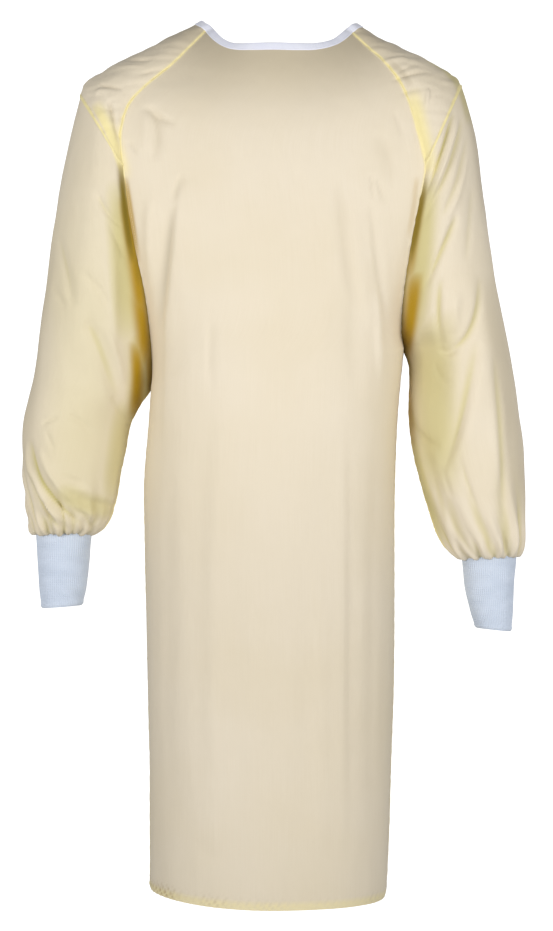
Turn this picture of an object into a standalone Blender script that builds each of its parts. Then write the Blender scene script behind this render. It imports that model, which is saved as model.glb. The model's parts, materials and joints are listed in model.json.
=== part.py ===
"""Reusable isolation gown, filled out as if worn, with nobody in it.

Sizes below are in millimetres and degrees; the solids are made in metres, +Z up, with the front
facing -Y. The origin is the middle of the neck opening, where the shoulders carry the gown.
"""
import math

import bpy
import numpy as np

MM = 0.001

WALL = 1.6
HEM_EXTRA = 0.8
CUFF_WALL = 2.0
RIB_RISE = 0.4
RIBS = 36
CUFF_STEPS = (1, 1, 1)
BINDING_WALL = 2.2
BINDING_WIDTH = 10.0
BINDING_CROWN = 0.35
BINDING_CLEAR = 0.15
BINDING_SMOOTHING = 6
SEAM_GAP = 0.3
LEVEL_SEAM = 0.4
SHARPEST_CORNER = 0.08
SHARPEST_BEND = 0.7
SHARP_EDGE_ANGLE = 50.0
LEAST_LENGTH = 1e-9
LEAST_TURN = 0.01
SAME_PLACE_DIGITS = 3

SLEEVE_FACETS = 24
GATHER_FACETS = 48
FRONT_FACETS = 24
BACK_FACETS = 12
SHOULDER_SKIP = 2
SHOULDER_ROWS = 6
UNDERARM_ROW = 16
FINE_SAMPLES = 240

LAP_HALF = 62.0
LAP_STEP = 4.6
LAP_EASE = 38.0
CENTRE_X = -2.0
CHEST_FLATNESS = 0.8
NECK_SWEEP = 4.5
BODY_SWEEP = 2.0
SWEEP_CHANGE = 4.0

GATHERS = 11
GATHER_HEIGHT = 3.4
GATHER_DRIFT = 0.35
GATHER_DRIFT_START = 0.6
GATHER_UNEVENNESS = 0.3
GATHER_UNEVENNESS_START = 1.1

SNAP_RADIUS = 6.0
SNAP_HEIGHT = 2.4
SNAP_SIDES = 20
SNAP_X = 44.0
SNAP_Z = -48.0
SNAP_PROFILE = ((1.0, 0.0), (1.0, 0.45), (0.82, 0.8), (0.5, 1.0))

# Each row is one section of a sleeve, from the neck edge to the cuff. The seam is the raglan or
# underarm line, the outer point is the top of the shoulder or the outside of the arm, front and back
# are the depths of the fullest points, hold is the share of that depth that the seam keeps, crest_at
# is how far the fullest point lies from the seam to the outer point, gather is the share of the
# gathers' height, and pinch draws the section to a point at the seam.
SLEEVE_COLUMNS = ("steps", "seam_x", "seam_z", "outer_x", "outer_z", "front", "back", "hold",
                  "crest_at", "axis_y", "gather", "pinch")
SLEEVE_LEFT = (
    (0, -89, -13.5, -105, 0, 36.7, 36, 0.98, 0.06, 0, 0, 0),
    (1, -110, -38, -130, -12, 54, 52, 0.98, 0.08, 0, 0, 0),
    (1, -133, -63, -165, -30, 68, 65, 0.975, 0.10, 0, 0, 0),
    (1, -169, -96, -205, -50, 84, 79, 0.97, 0.12, 0, 0, 0),
    (1, -191, -123, -232, -66, 92, 87, 0.965, 0.14, 0, 0, 0),
    (1, -200, -161, -251, -77, 98, 92, 0.955, 0.16, 0, 0, 0),
    (1, -197, -201, -259, -96, 102, 96, 0.93, 0.18, 0, 0, 0),
    (2, -190, -254, -274, -158, 104, 98, 0.87, 0.24, 0, 0, 0),
    (2, -180, -312, -292, -251, 102, 96, 0.78, 0.30, 0, 0, 0.1),
    (2, -168, -374, -305, -349, 95, 90, 0.62, 0.38, 0, 0, 0.3),
    (2, -162, -432, -314.5, -421, 85, 82, 0.40, 0.44, 0, 0, 0.55),
    (2, -164, -486, -321, -467, 76, 74, 0.0, 0.5, 0, 0, 0.75),
    (1, -177, -508, -328.5, -501, 73, 72, 0.0, 0.5, -4, 0, 0.6),
    (1, -192, -537, -335, -532, 70, 69, 0.0, 0.5, -6, 0, 0.3),
    (1, -198, -572, -337, -562, 66, 66, 0.0, 0.5, -8, 0, 0.1),
    (1, -205, -604, -335, -599, 63, 63, 0.0, 0.5, -10, 0, 0),
    (1, -210, -634, -331, -631, 58, 58, 0.0, 0.5, -11, 0.35, 0),
    (1, -218, -660, -328.5, -660, 51, 51, 0.0, 0.5, -12, 1.0, 0),
    (1, -228, -677, -327, -677, 42, 42, 0.0, 0.5, -12, 0.9, 0),
    (1, -239, -688, -324, -687, 32, 32, 0.0, 0.5, -12, 0.45, 0),
    (1, -244.5, -694, -318.5, -693, 28.6, 28.6, 0.0, 0.5, -12, 0.0, 0),
)
SLEEVE_RIGHT = (
    (0, 105, -16, 121, -3, 36.7, 36, 0.98, 0.06, 0, 0, 0),
    (1, 126, -39, 144, -18, 54, 52, 0.98, 0.08, 0, 0, 0),
    (1, 145, -58, 171, -31, 68, 65, 0.975, 0.10, 0, 0, 0),
    (1, 164, -84, 200, -45, 83, 78, 0.97, 0.12, 0, 0, 0),
    (1, 178, -114, 223, -57, 92, 87, 0.965, 0.14, 0, 0, 0),
    (1, 188, -151, 240, -68, 98, 92, 0.955, 0.16, 0, 0, 0),
    (1, 200, -200, 252, -82, 102, 96, 0.93, 0.18, 0, 0, 0),
    (2, 191, -252, 271, -147, 104, 98, 0.87, 0.24, 0, 0, 0),
    (2, 181, -306, 285, -241, 102, 96, 0.78, 0.30, 0, 0, 0.1),
    (2, 173, -366, 300, -345, 95, 90, 0.62, 0.38, 0, 0, 0.3),
    (2, 171, -407, 313, -410, 85, 82, 0.40, 0.44, 0, 0, 0.55),
    (2, 176, -435, 319, -441, 79, 77, 0.0, 0.5, 0, 0, 0.75),
    (1, 184, -462, 323, -470, 76, 74, 0.0, 0.5, -4, 0, 0.6),
    (1, 183, -518, 330, -518, 72, 71, 0.0, 0.5, -6, 0, 0.3),
    (1, 187, -564, 336, -561, 69, 68, 0.0, 0.5, -8, 0, 0.1),
    (1, 195.5, -604, 338, -602, 65, 65, 0.0, 0.5, -10, 0, 0),
    (1, 206.5, -639, 339.5, -639, 60, 60, 0.0, 0.5, -11, 0.35, 0),
    (1, 221, -676, 339, -673, 53, 53, 0.0, 0.5, -12, 1.0, 0),
    (1, 236.5, -704, 336, -700, 43, 43, 0.0, 0.5, -12, 0.9, 0),
    (1, 251, -719, 331, -716, 32, 32, 0.0, 0.5, -12, 0.45, 0),
    (1, 254.5, -726, 327.5, -723, 28.6, 28.6, 0.0, 0.5, -12, 0.0, 0),
)
CUFF_LEFT = (
    (0, -247, -688, -316, -687, 26, 26, 0.0, 0.5, -12, 0, 0),
    (1, -248, -723, -315, -720, 25, 25, 0.0, 0.5, -12, 0, 0),
    (1, -252, -757, -313, -759, 24, 24, 0.0, 0.5, -12, 0, 0),
    (1, -258, -780, -309, -784, 22, 22, 0.0, 0.5, -12, 0, 0),
)
CUFF_RIGHT = (
    (0, 257, -723, 325, -720, 26, 26, 0.0, 0.5, -12, 0, 0),
    (1, 259, -754, 323, -753, 25, 25, 0.0, 0.5, -12, 0, 0),
    (1, 266, -788, 321.5, -789, 24, 24, 0.0, 0.5, -12, 0, 0),
    (1, 274, -810, 319, -815, 22, 22, 0.0, 0.5, -12, 0, 0),
)

# The centre of the front and of the back, one row for each sleeve section down to the underarm.
CHEST_COLUMNS = ("front_z", "front", "back_z", "back")
CHEST = (
    (-48, 92, -26, 60),
    (-72, 100, -52, 76),
    (-98, 107, -80, 88),
    (-126, 113, -110, 97),
    (-152, 117, -140, 103),
    (-182, 120, -172, 107),
    (-212, 122, -206, 110),
    (-262, 124, -258, 113),
    (-315, 125, -313, 114),
    (-372, 125, -371, 115),
    (-424, 125, -424, 115),
    (-464, 125, -464, 115),
)

# The body below the underarm, down to the hem. thick is the share of the hem's added thickness.
SKIRT_COLUMNS = ("steps", "left_x", "left_z", "right_x", "right_z", "centre_z", "front", "back", "thick")
SKIRT = (
    (0, -164, -486, 176, -435, -464, 125, 115, 0),
    (2, -168, -545, 168, -518, -532, 125, 115, 0),
    (1, -173, -613, 164, -596, -605, 124, 114, 0),
    (1, -172, -682, 162.5, -675, -678, 124, 113, 0),
    (2, -170, -776, 162.5, -775, -776, 124, 113, 0),
    (2, -168, -896, 161, -896, -896, 125, 114, 0),
    (1, -165.5, -991, 158, -991, -991, 125, 115, 0),
    (1, -165, -1085, 156, -1085, -1085, 126, 116, 0),
    (1, -165, -1145, 153, -1156, -1155, 126, 116, 0),
    (1, -165, -1146, 153, -1157, -1156, 126, 116, 1),
    (1, -164, -1159, 150, -1170, -1169, 126, 116, 1),
)

# The largest folds, as lines seen from the front or from the back. A negative rise is a trough.
FOLD_COLUMNS = ("side", "from_x", "from_z", "to_x", "to_z", "width", "rise")
FOLD_FADE = 3
FOLD_FACING_START = 15.0
FOLD_FACING_EASE = 30.0
FOLDS = (
    ("front", -134, -205, -154, -420, 15, -6.0),
    ("front", -112, -215, -136, -430, 16, 2.5),
    ("front", 93, -208, 106, -400, 15, -5.0),
    ("front", 106, -400, 146, -470, 14, -4.0),
    ("front", 130, -285, 146, -425, 12, -4.5),
    ("front", 112, -560, 122, -1120, 22, -3.5),
    ("front", 60, -620, 66, -1130, 26, 2.5),
    ("front", -95, -640, -100, -1130, 26, -3.0),
    ("front", -240, -225, -216, -275, 13, -5.0),
    ("front", -284, -300, -272, -390, 13, -4.5),
    ("front", -236, -430, -232, -500, 16, -5.0),
    ("front", 244, -135, 196, -300, 13, -5.0),
    ("front", 262, -170, 212, -330, 14, -4.5),
    ("front", 274, -340, 268, -405, 14, -5.0),
    ("front", 268, -420, 232, -560, 16, 4.5),
    ("back", -120, -200, -140, -420, 16, -5.0),
    ("back", 118, -210, 138, -430, 16, -5.0),
    ("back", -90, -560, -98, -1110, 24, -3.5),
    ("back", 104, -600, 110, -1120, 24, -3.5),
    ("back", -240, -200, -205, -320, 14, -4.5),
    ("back", 252, -190, 214, -320, 14, -4.5),
    ("back", -250, -430, -226, -540, 16, -5.0),
    ("back", 262, -440, 236, -560, 16, -5.0),
)

CLOTH_COLOUR = (0.83, 0.74, 0.54, 1.0)
KNIT_COLOUR = (0.62, 0.70, 0.82, 1.0)
BINDING_COLOUR = (0.74, 0.77, 0.88, 1.0)
SNAP_COLOUR = (0.86, 0.86, 0.84, 1.0)
CLOTH_ROUGHNESS = 0.55
KNIT_ROUGHNESS = 0.85
BINDING_ROUGHNESS = 0.6
SNAP_ROUGHNESS = 0.35


class Sheet:
    """The middle surface of one cut piece: points, faces that look out, and what is added to it."""

    def __init__(self, points, faces, wall, extra=None, lift=None):
        self.points = np.array(points, dtype=float)
        self.faces = faces
        self.wall = wall
        self.extra = np.zeros(len(self.points)) if extra is None else np.array(extra, dtype=float)
        self.lift = np.zeros(len(self.points)) if lift is None else np.array(lift, dtype=float)
        self.normals = None


def clear_scene():
    """Remove every object that the scene starts with."""
    for thing in list(bpy.data.objects):
        bpy.data.objects.remove(thing, do_unlink=True)


def make_material(name, colour, roughness):
    """Return a plain surface material."""
    material = bpy.data.materials.new(name)
    material.use_nodes = True
    shader = material.node_tree.nodes["Principled BSDF"]
    shader.inputs["Base Color"].default_value = colour
    shader.inputs["Roughness"].default_value = roughness
    shader.inputs["Metallic"].default_value = 0.0
    return material


def smooth_between(before, start, end, after, share):
    """Read a smooth curve between start and end that also heeds the rows before and after them."""
    slope_start = (end - before) / 2.0
    slope_end = (after - start) / 2.0
    square = share * share
    cube = square * share
    return (start * (2 * cube - 3 * square + 1) + slope_start * (cube - 2 * square + share)
            + end * (3 * square - 2 * cube) + slope_end * (cube - square))


def refine(table, columns, steps):
    """Return one dictionary for each row of the finer table that a smooth curve reads."""
    rows = np.array([[float(value) for value in row] for row in table])
    result = [rows[0]]
    for index in range(1, len(rows)):
        before = rows[max(index - 2, 0)]
        after = rows[min(index + 1, len(rows) - 1)]
        for step in range(1, steps[index] + 1):
            share = step / steps[index]
            result.append(smooth_between(before, rows[index - 1], rows[index], after, share))
    return [dict(zip(columns, row)) for row in result]


def even_points(points, count):
    """Return count + 1 points at even distances along a line of points."""
    lengths = np.linalg.norm(np.diff(points, axis=0), axis=1)
    travelled = np.concatenate(([0.0], np.cumsum(lengths)))
    wanted = np.linspace(0.0, travelled[-1], count + 1)
    return np.stack([np.interp(wanted, travelled, points[:, axis]) for axis in range(3)], axis=1)


def sleeve_side(row, depth, sign):
    """Return fine points from the seam to the outer point, on the front or on the back."""
    hold = min(max(row["hold"], 0.0), 1.0)
    power = 1.0 + max(row["pinch"], 0.0)
    start = -math.acos(hold ** (1.0 / power))
    angle = np.linspace(start, math.pi / 2, FINE_SAMPLES)
    crest = row["crest_at"]
    bulge = np.cos(angle) ** np.where(angle < 0.0, power, 1.0)
    inner = crest + crest * np.sin(angle) / max(math.sin(-start), LEAST_TURN)
    outer = crest + (1.0 - crest) * np.sin(angle)
    along = np.where(angle < 0.0, inner, outer)
    x = row["seam_x"] + (row["outer_x"] - row["seam_x"]) * along
    y = row["axis_y"] + sign * depth * bulge
    z = row["seam_z"] + (row["outer_z"] - row["seam_z"]) * along
    return np.stack([x, y, z], axis=1)


def sleeve_section(row, count):
    """Return one sleeve row from the front seam, over the outside, to the back seam."""
    front = sleeve_side(row, row["front"], -1.0)
    back = sleeve_side(row, row["back"], 1.0)
    return even_points(np.concatenate((front, back[-2::-1])), count)


def half_row(seam, centre_z, depth, sign, sweep):
    """Return fine points of a body row from its seam to the centre, on the front or on the back."""
    ratio = min(abs(seam[1]) / depth, 1.0) ** (1.0 / CHEST_FLATNESS)
    start = math.acos(ratio)
    angle = np.linspace(start, 0.0, FINE_SAMPLES)
    share = np.sin(angle) / math.sin(start)
    x = CENTRE_X + (seam[0] - CENTRE_X) * share
    y = sign * depth * np.cos(angle) ** CHEST_FLATNESS
    z = centre_z + (seam[2] - centre_z) * share ** sweep
    return np.stack([x, y, z], axis=1)


def body_row(left, right, centre_z, depth, sign, sweep):
    """Return fine points of a whole body row, from the left seam to the right seam."""
    left_half = half_row(left, centre_z, depth, sign, sweep)
    right_half = half_row(right, centre_z, depth, sign, sweep)
    return np.concatenate((left_half, right_half[-2::-1]))


def lap_depth(x):
    """Return how far the under layer of the back overlap lies inside, at each x."""
    share = np.clip((CENTRE_X + LAP_HALF + LAP_EASE - x) / LAP_EASE, 0.0, 1.0)
    return LAP_STEP * share * share * (3.0 - 2.0 * share)


def back_halves(line):
    """Cut a back row into the upper layer, on the left, and the under layer, on the right."""
    upper = line[line[:, 0] <= CENTRE_X + LAP_HALF]
    under = line[line[:, 0] >= CENTRE_X - LAP_HALF].copy()
    under[:, 1] -= lap_depth(under[:, 0])
    return even_points(upper, BACK_FACETS), even_points(under, BACK_FACETS)


def grid_faces(rows, columns, flip):
    """Return the quads of a grid of rows by columns of points."""
    faces = []
    for row in range(rows - 1):
        for column in range(columns - 1):
            corner = row * columns + column
            quad = (corner, corner + 1, corner + 1 + columns, corner + columns)
            faces.append(quad[::-1] if flip else quad)
    return faces


def grid_sheet(grid, flip, wall, extra=None):
    """Return a sheet from rows of points."""
    rows = len(grid)
    columns = len(grid[0])
    return Sheet(np.concatenate(grid), grid_faces(rows, columns, flip), wall, extra)


def ring_faces(first, second, upper, lower, flip):
    """Return the faces between two rings, where the lower one has as many points or twice as many."""
    faces = []
    double = lower == 2 * upper
    for index in range(upper):
        a = first + index
        b = first + (index + 1) % upper
        if double:
            low = [second + (2 * index + part) % lower for part in range(3)]
            faces += [(a, low[1], low[0]), (a, b, low[1]), (b, low[2], low[1])]
        else:
            faces.append((a, b, second + (index + 1) % lower, second + index))
    return [face[::-1] if flip else face for face in faces]


def gather_lift(row, count):
    """Return the height of the gathers round one ring."""
    turn = np.arange(count) / count * 2.0 * math.pi
    drift = GATHER_DRIFT * np.sin(2.0 * turn + GATHER_DRIFT_START)
    uneven = 1.0 + GATHER_UNEVENNESS * np.sin(3.0 * turn + GATHER_UNEVENNESS_START)
    return row["gather"] * GATHER_HEIGHT * uneven * np.cos(GATHERS * turn + drift)


def sleeve_sheet(rows, flip):
    """Return the sleeve: open above the underarm, a closed tube below it, gathered at its end."""
    points = []
    lift = []
    faces = []
    starts = []
    counts = []
    for index, row in enumerate(rows[SHOULDER_ROWS:], SHOULDER_ROWS):
        count = GATHER_FACETS if row["gather"] > 0.0 or index == len(rows) - 1 else SLEEVE_FACETS
        section = sleeve_section(row, count)
        if index >= UNDERARM_ROW:
            section = section[:-1]
        starts.append(len(points))
        counts.append(len(section))
        points.extend(section)
        lift.extend(gather_lift(row, count)[:len(section)] if count == GATHER_FACETS
                    else np.zeros(len(section)))
    for index in range(len(starts) - 1):
        upper = counts[index]
        lower = counts[index + 1]
        if upper == SLEEVE_FACETS + 1:
            for column in range(SLEEVE_FACETS):
                a = starts[index] + column
                below = starts[index + 1]
                quad = (a, a + 1, below + (column + 1) % lower, below + column % lower)
                faces.append(quad[::-1] if flip else quad)
        else:
            faces += ring_faces(starts[index], starts[index + 1], upper, lower, flip)
    return Sheet(points, faces, WALL, lift=lift)


def cuff_sheet(table, flip):
    """Return a knit cuff, a closed tube with ribs along it."""
    rows = refine(table, SLEEVE_COLUMNS, (0,) + CUFF_STEPS)
    count = 2 * RIBS
    points = []
    extra = []
    faces = []
    for index, row in enumerate(rows):
        points.extend(sleeve_section(row, count)[:-1])
        extra.extend([RIB_RISE * (column % 2) for column in range(count)])
        if index:
            faces += ring_faces((index - 1) * count, index * count, count, count, flip)
    return Sheet(points, faces, CUFF_WALL, extra)


def seam_point(row, back):
    """Return the point of the raglan seam on the front or on the back of one sleeve row."""
    depth = row["back"] if back else -row["front"]
    hold = min(max(row["hold"], 0.0), 1.0)
    return np.array([row["seam_x"], row["axis_y"] + depth * hold, row["seam_z"]])


def chest_grids(left_rows, right_rows):
    """Return the rows of the front and of the two backs, from the neck edge to the underarm."""
    chest = refine(CHEST, CHEST_COLUMNS, [int(row[0]) for row in SLEEVE_LEFT[:len(CHEST)]])
    grids = {"front": [], "back_left": [], "back_right": []}
    for index, row in enumerate(chest):
        share = min(SWEEP_CHANGE * index / (len(chest) - 1), 1.0)
        sweep = NECK_SWEEP + (BODY_SWEEP - NECK_SWEEP) * share
        ends = [seam_point(rows[index], False) for rows in (left_rows, right_rows)]
        line = body_row(*ends, row["front_z"], row["front"], -1.0, sweep)
        grids["front"].append(even_points(line, FRONT_FACETS))
        ends = [seam_point(rows[index], True) for rows in (left_rows, right_rows)]
        upper, under = back_halves(body_row(*ends, row["back_z"], row["back"], 1.0, sweep))
        grids["back_left"].append(upper)
        grids["back_right"].append(under)
    return grids


def add_skirt(grids):
    """Add the rows below the underarm to the grids, and return how much thicker each row is."""
    extra = [0.0] * len(grids["front"])
    for row in refine(SKIRT, SKIRT_COLUMNS, [int(row[0]) for row in SKIRT])[1:]:
        ends = [np.array([row["left_x"], 0.0, row["left_z"]]),
                np.array([row["right_x"], 0.0, row["right_z"]])]
        line = body_row(*ends, row["centre_z"], row["front"], -1.0, BODY_SWEEP)
        grids["front"].append(even_points(line, FRONT_FACETS))
        upper, under = back_halves(body_row(*ends, row["centre_z"], row["back"], 1.0, BODY_SWEEP))
        grids["back_left"].append(upper)
        grids["back_right"].append(under)
        extra.append(row["thick"] * HEM_EXTRA)
    return extra


def binding_sheet(grids, left_grid, right_grid):
    """Return the neck binding, from the upper layer's free edge round the neck to the under layer's."""
    stretches = ((grids["back_left"], True, 1), (left_grid, True, SHOULDER_SKIP),
                 (grids["front"], False, 1), (right_grid, False, SHOULDER_SKIP),
                 (grids["back_right"], True, 1))
    base = []
    rise = []
    for grid, backwards, skip in stretches:
        edge = grid[0][::-1] if backwards else grid[0]
        below = grid[1][::-1] if backwards else grid[1]
        first = skip if base else 0
        base.extend(edge[first::skip])
        rise.extend((edge - below)[first::skip])
    base = np.array(base)
    rise = np.array(rise)
    tangent = np.gradient(base, axis=0)
    tangent /= np.linalg.norm(tangent, axis=1)[:, None]
    for _ in range(BINDING_SMOOTHING):
        rise[1:-1] = (rise[:-2] + 2.0 * rise[1:-1] + rise[2:]) / 4.0
        rise -= tangent * np.sum(rise * tangent, axis=1)[:, None]
        rise /= np.linalg.norm(rise, axis=1)[:, None]
    heights = (BINDING_WIDTH, BINDING_WIDTH / 2.0, BINDING_CLEAR)
    grid = [base + rise * height for height in heights]
    extra = np.repeat([0.0, BINDING_CROWN, 0.0], len(base))
    return grid_sheet(grid, True, BINDING_WALL, extra)


def point_key(point):
    """Return a key that points in the same place share."""
    return tuple(np.round(point, SAME_PLACE_DIGITS))


def weld_normals(sheets):
    """Give every sheet its normals, shared where pieces meet at a seam."""
    totals = {}
    for sheet in sheets.values():
        for face in sheet.faces:
            corners = sheet.points[list(face)]
            onward = np.roll(corners, -1, axis=0) - corners
            onward /= np.linalg.norm(onward, axis=1)[:, None]
            normals = np.cross(np.roll(-onward, 1, axis=0), onward)
            for corner, normal in zip(corners, -normals):
                key = point_key(corner)
                totals[key] = totals.get(key, 0.0) + normal
    for sheet in sheets.values():
        normals = np.array([totals[point_key(point)] for point in sheet.points])
        sheet.normals = normals / np.linalg.norm(normals, axis=1)[:, None]


def fold_rise(points):
    """Return how far the folds move each point along its normal."""
    total = np.zeros(len(points))
    for values in FOLDS:
        fold = dict(zip(FOLD_COLUMNS, values))
        start = np.array([fold["from_x"], fold["from_z"]], dtype=float)
        end = np.array([fold["to_x"], fold["to_z"]], dtype=float)
        length = np.linalg.norm(end - start)
        direction = (end - start) / length
        offset = points[:, [0, 2]] - start
        along = offset @ direction / length
        across = offset @ np.array([-direction[1], direction[0]]) / fold["width"]
        fade = np.clip(1.0 - np.abs(2.0 * along - 1.0) ** FOLD_FADE, 0.0, 1.0)
        depth = points[:, 1] if fold["side"] == "back" else -points[:, 1]
        facing = np.clip((depth - FOLD_FACING_START) / FOLD_FACING_EASE, 0.0, 1.0)
        total += fold["rise"] * np.exp(-across * across) * fade * facing
    return total


def face_normal(sheet, face):
    """Return the unit normal of one face."""
    corners = sheet.points[list(face)]
    normal = np.cross(corners[1] - corners[0], corners[-1] - corners[0])
    return normal / max(np.linalg.norm(normal), LEAST_LENGTH)


def border(sheet):
    """Return the directed edges of a sheet that only one face uses, each with that face."""
    edges = {}
    for face in sheet.faces:
        for index, corner in enumerate(face):
            edges[(corner, face[(index + 1) % len(face)])] = face
    return {edge: face for edge, face in edges.items() if (edge[1], edge[0]) not in edges}


def pull_in(sheet, edges):
    """Return the points with the border moved into the piece by half of the seam's gap."""
    inward = {}
    for (start, end), face in edges.items():
        direction = sheet.points[end] - sheet.points[start]
        direction /= np.linalg.norm(direction)
        for corner in (start, end):
            side = np.cross(sheet.normals[corner], direction)
            if np.linalg.norm(side) < LEVEL_SEAM:
                side = np.cross(face_normal(sheet, face), direction)
            inward.setdefault(corner, []).append(side / np.linalg.norm(side))
    moved = sheet.points.copy()
    for corner, sides in inward.items():
        middle = np.mean(sides, axis=0)
        middle *= SEAM_GAP / 2.0 / max(np.dot(middle, middle), SHARPEST_CORNER)
        moved[corner] += middle
    return moved


def even_scale(sheet):
    """Return the factor that keeps the wall's thickness where the cloth turns sharply."""
    worst = np.ones(len(sheet.points))
    for face in sheet.faces:
        normal = face_normal(sheet, face)
        for corner in face:
            worst[corner] = min(worst[corner], float(np.dot(normal, sheet.normals[corner])))
    return 1.0 / np.clip(worst, SHARPEST_BEND, 1.0)


def thicken(sheet):
    """Return the points and faces of the closed wall round a sheet."""
    edges = border(sheet)
    middle = pull_in(sheet, edges)
    half = (sheet.wall / 2.0 * even_scale(sheet))[:, None]
    outer = middle + sheet.normals * (half + sheet.extra[:, None])
    inner = middle - sheet.normals * half
    count = len(middle)
    faces = [tuple(face) for face in sheet.faces]
    faces += [tuple(corner + count for corner in reversed(face)) for face in sheet.faces]
    for start, end in edges:
        if point_key(sheet.points[start]) < point_key(sheet.points[end]):
            faces += [(end, start, end + count), (start, start + count, end + count)]
        else:
            faces += [(end, start, start + count), (end, start + count, end + count)]
    return np.concatenate((outer, inner)), faces


def add_solid(name, points, faces, material):
    """Make one mesh object from points in millimetres."""
    mesh = bpy.data.meshes.new(name)
    mesh.from_pydata([tuple(point * MM) for point in points], [], faces)
    mesh.update()
    mesh.materials.append(material)
    mesh.shade_smooth()
    mesh.set_sharp_from_angle(angle=math.radians(SHARP_EDGE_ANGLE))
    solid = bpy.data.objects.new(name, mesh)
    bpy.context.scene.collection.objects.link(solid)
    return solid


def snap_seat(sheet):
    """Return the outer point and the normal of the back panel where the snap is pressed on."""
    wanted = np.array([SNAP_X, SNAP_Z])
    distance = np.linalg.norm(sheet.points[:, [0, 2]] - wanted, axis=1)
    nearest = int(np.argmin(distance))
    return sheet.points[nearest], sheet.normals[nearest]


def add_snap(sheet, material):
    """Make the snap's domed cap, seated on the outside of the back overlap."""
    place, normal = snap_seat(sheet)
    seat = place + normal * (WALL / 2.0 + SEAM_GAP)
    side = np.cross(normal, [0.0, 0.0, 1.0])
    side /= np.linalg.norm(side)
    up = np.cross(normal, side)
    points = []
    faces = []
    for radius, height in SNAP_PROFILE:
        for step in range(SNAP_SIDES):
            turn = 2.0 * math.pi * step / SNAP_SIDES
            spoke = side * math.cos(turn) + up * math.sin(turn)
            points.append(seat + spoke * SNAP_RADIUS * radius + normal * SNAP_HEIGHT * height)
    for ring in range(len(SNAP_PROFILE) - 1):
        faces += ring_faces(ring * SNAP_SIDES, (ring + 1) * SNAP_SIDES, SNAP_SIDES, SNAP_SIDES, False)
    last = (len(SNAP_PROFILE) - 1) * SNAP_SIDES
    faces.append(tuple(range(SNAP_SIDES))[::-1])
    faces.append(tuple(range(last, last + SNAP_SIDES)))
    return add_solid("neck_snap", np.array(points), faces, material)


def cloth_sheets():
    """Return the sheets of the seven cloth panels and of the neck binding."""
    steps = [int(row[0]) for row in SLEEVE_LEFT]
    left_rows = refine(SLEEVE_LEFT, SLEEVE_COLUMNS, steps)
    right_rows = refine(SLEEVE_RIGHT, SLEEVE_COLUMNS, steps)
    grids = chest_grids(left_rows, right_rows)
    extra = add_skirt(grids)
    sheets = {name: grid_sheet(grid, name == "front", WALL, np.repeat(extra, len(grid[0])))
              for name, grid in grids.items()}
    shoulders = {}
    for side, rows, flip in (("left", left_rows, False), ("right", right_rows, True)):
        grid = [sleeve_section(row, SLEEVE_FACETS) for row in rows[:SHOULDER_ROWS + 1]]
        shoulders[side] = grid
        sheets["shoulder_" + side] = grid_sheet(grid, flip, WALL)
        sheets["sleeve_" + side] = sleeve_sheet(rows, flip)
    sheets["neck_binding"] = binding_sheet(grids, shoulders["left"], shoulders["right"])
    return sheets


def add_folds(sheets):
    """Move the cloth out and in at its folds and gathers."""
    weld_normals(sheets)
    for sheet in sheets.values():
        move = fold_rise(sheet.points) + sheet.lift
        sheet.points = sheet.points + sheet.normals * move[:, None]
    weld_normals(sheets)


def build_gown():
    """Make every piece of the gown."""
    clear_scene()
    cloth = make_material("cream_cloth", CLOTH_COLOUR, CLOTH_ROUGHNESS)
    knit = make_material("white_knit", KNIT_COLOUR, KNIT_ROUGHNESS)
    tape = make_material("binding_tape", BINDING_COLOUR, BINDING_ROUGHNESS)
    snap = make_material("snap_resin", SNAP_COLOUR, SNAP_ROUGHNESS)
    sheets = cloth_sheets()
    add_folds(sheets)
    for name, sheet in sheets.items():
        points, faces = thicken(sheet)
        add_solid(name, points, faces, tape if name == "neck_binding" else cloth)
    for name, table, flip in (("cuff_left", CUFF_LEFT, False), ("cuff_right", CUFF_RIGHT, True)):
        cuff = cuff_sheet(table, flip)
        weld_normals({name: cuff})
        points, faces = thicken(cuff)
        add_solid(name, points, faces, knit)
    add_snap(sheets["back_left"], snap)


build_gown()
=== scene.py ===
"""Looks of the reusable isolation gown: thin cloth shells on its solids, creases, sewing and knit.

Sizes are in millimetres, in the solids' own frame: +Z up, the front facing -Y. The materials, the
lights and the camera are in metres.
"""
import json
import math

import bpy
import numpy as np
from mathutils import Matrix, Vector, noise

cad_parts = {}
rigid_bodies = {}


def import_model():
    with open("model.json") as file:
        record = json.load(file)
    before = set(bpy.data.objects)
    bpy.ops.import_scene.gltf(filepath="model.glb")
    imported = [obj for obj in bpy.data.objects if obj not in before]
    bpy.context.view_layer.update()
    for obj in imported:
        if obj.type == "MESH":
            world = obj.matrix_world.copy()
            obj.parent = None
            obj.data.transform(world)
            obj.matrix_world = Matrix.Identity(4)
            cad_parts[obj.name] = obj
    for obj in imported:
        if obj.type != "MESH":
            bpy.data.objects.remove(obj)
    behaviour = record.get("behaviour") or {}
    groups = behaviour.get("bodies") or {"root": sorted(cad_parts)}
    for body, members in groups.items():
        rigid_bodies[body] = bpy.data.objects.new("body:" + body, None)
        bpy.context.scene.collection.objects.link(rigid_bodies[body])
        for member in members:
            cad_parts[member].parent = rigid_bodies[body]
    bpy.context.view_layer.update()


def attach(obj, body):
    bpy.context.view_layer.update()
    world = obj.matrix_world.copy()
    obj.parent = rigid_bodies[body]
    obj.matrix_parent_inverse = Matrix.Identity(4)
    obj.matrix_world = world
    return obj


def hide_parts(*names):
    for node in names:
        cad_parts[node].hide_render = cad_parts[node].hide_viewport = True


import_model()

MM = 0.001
SHARP_ANGLE = 55.0
TINY = 1e-9
SAME_PLACE = 1e-6

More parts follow.
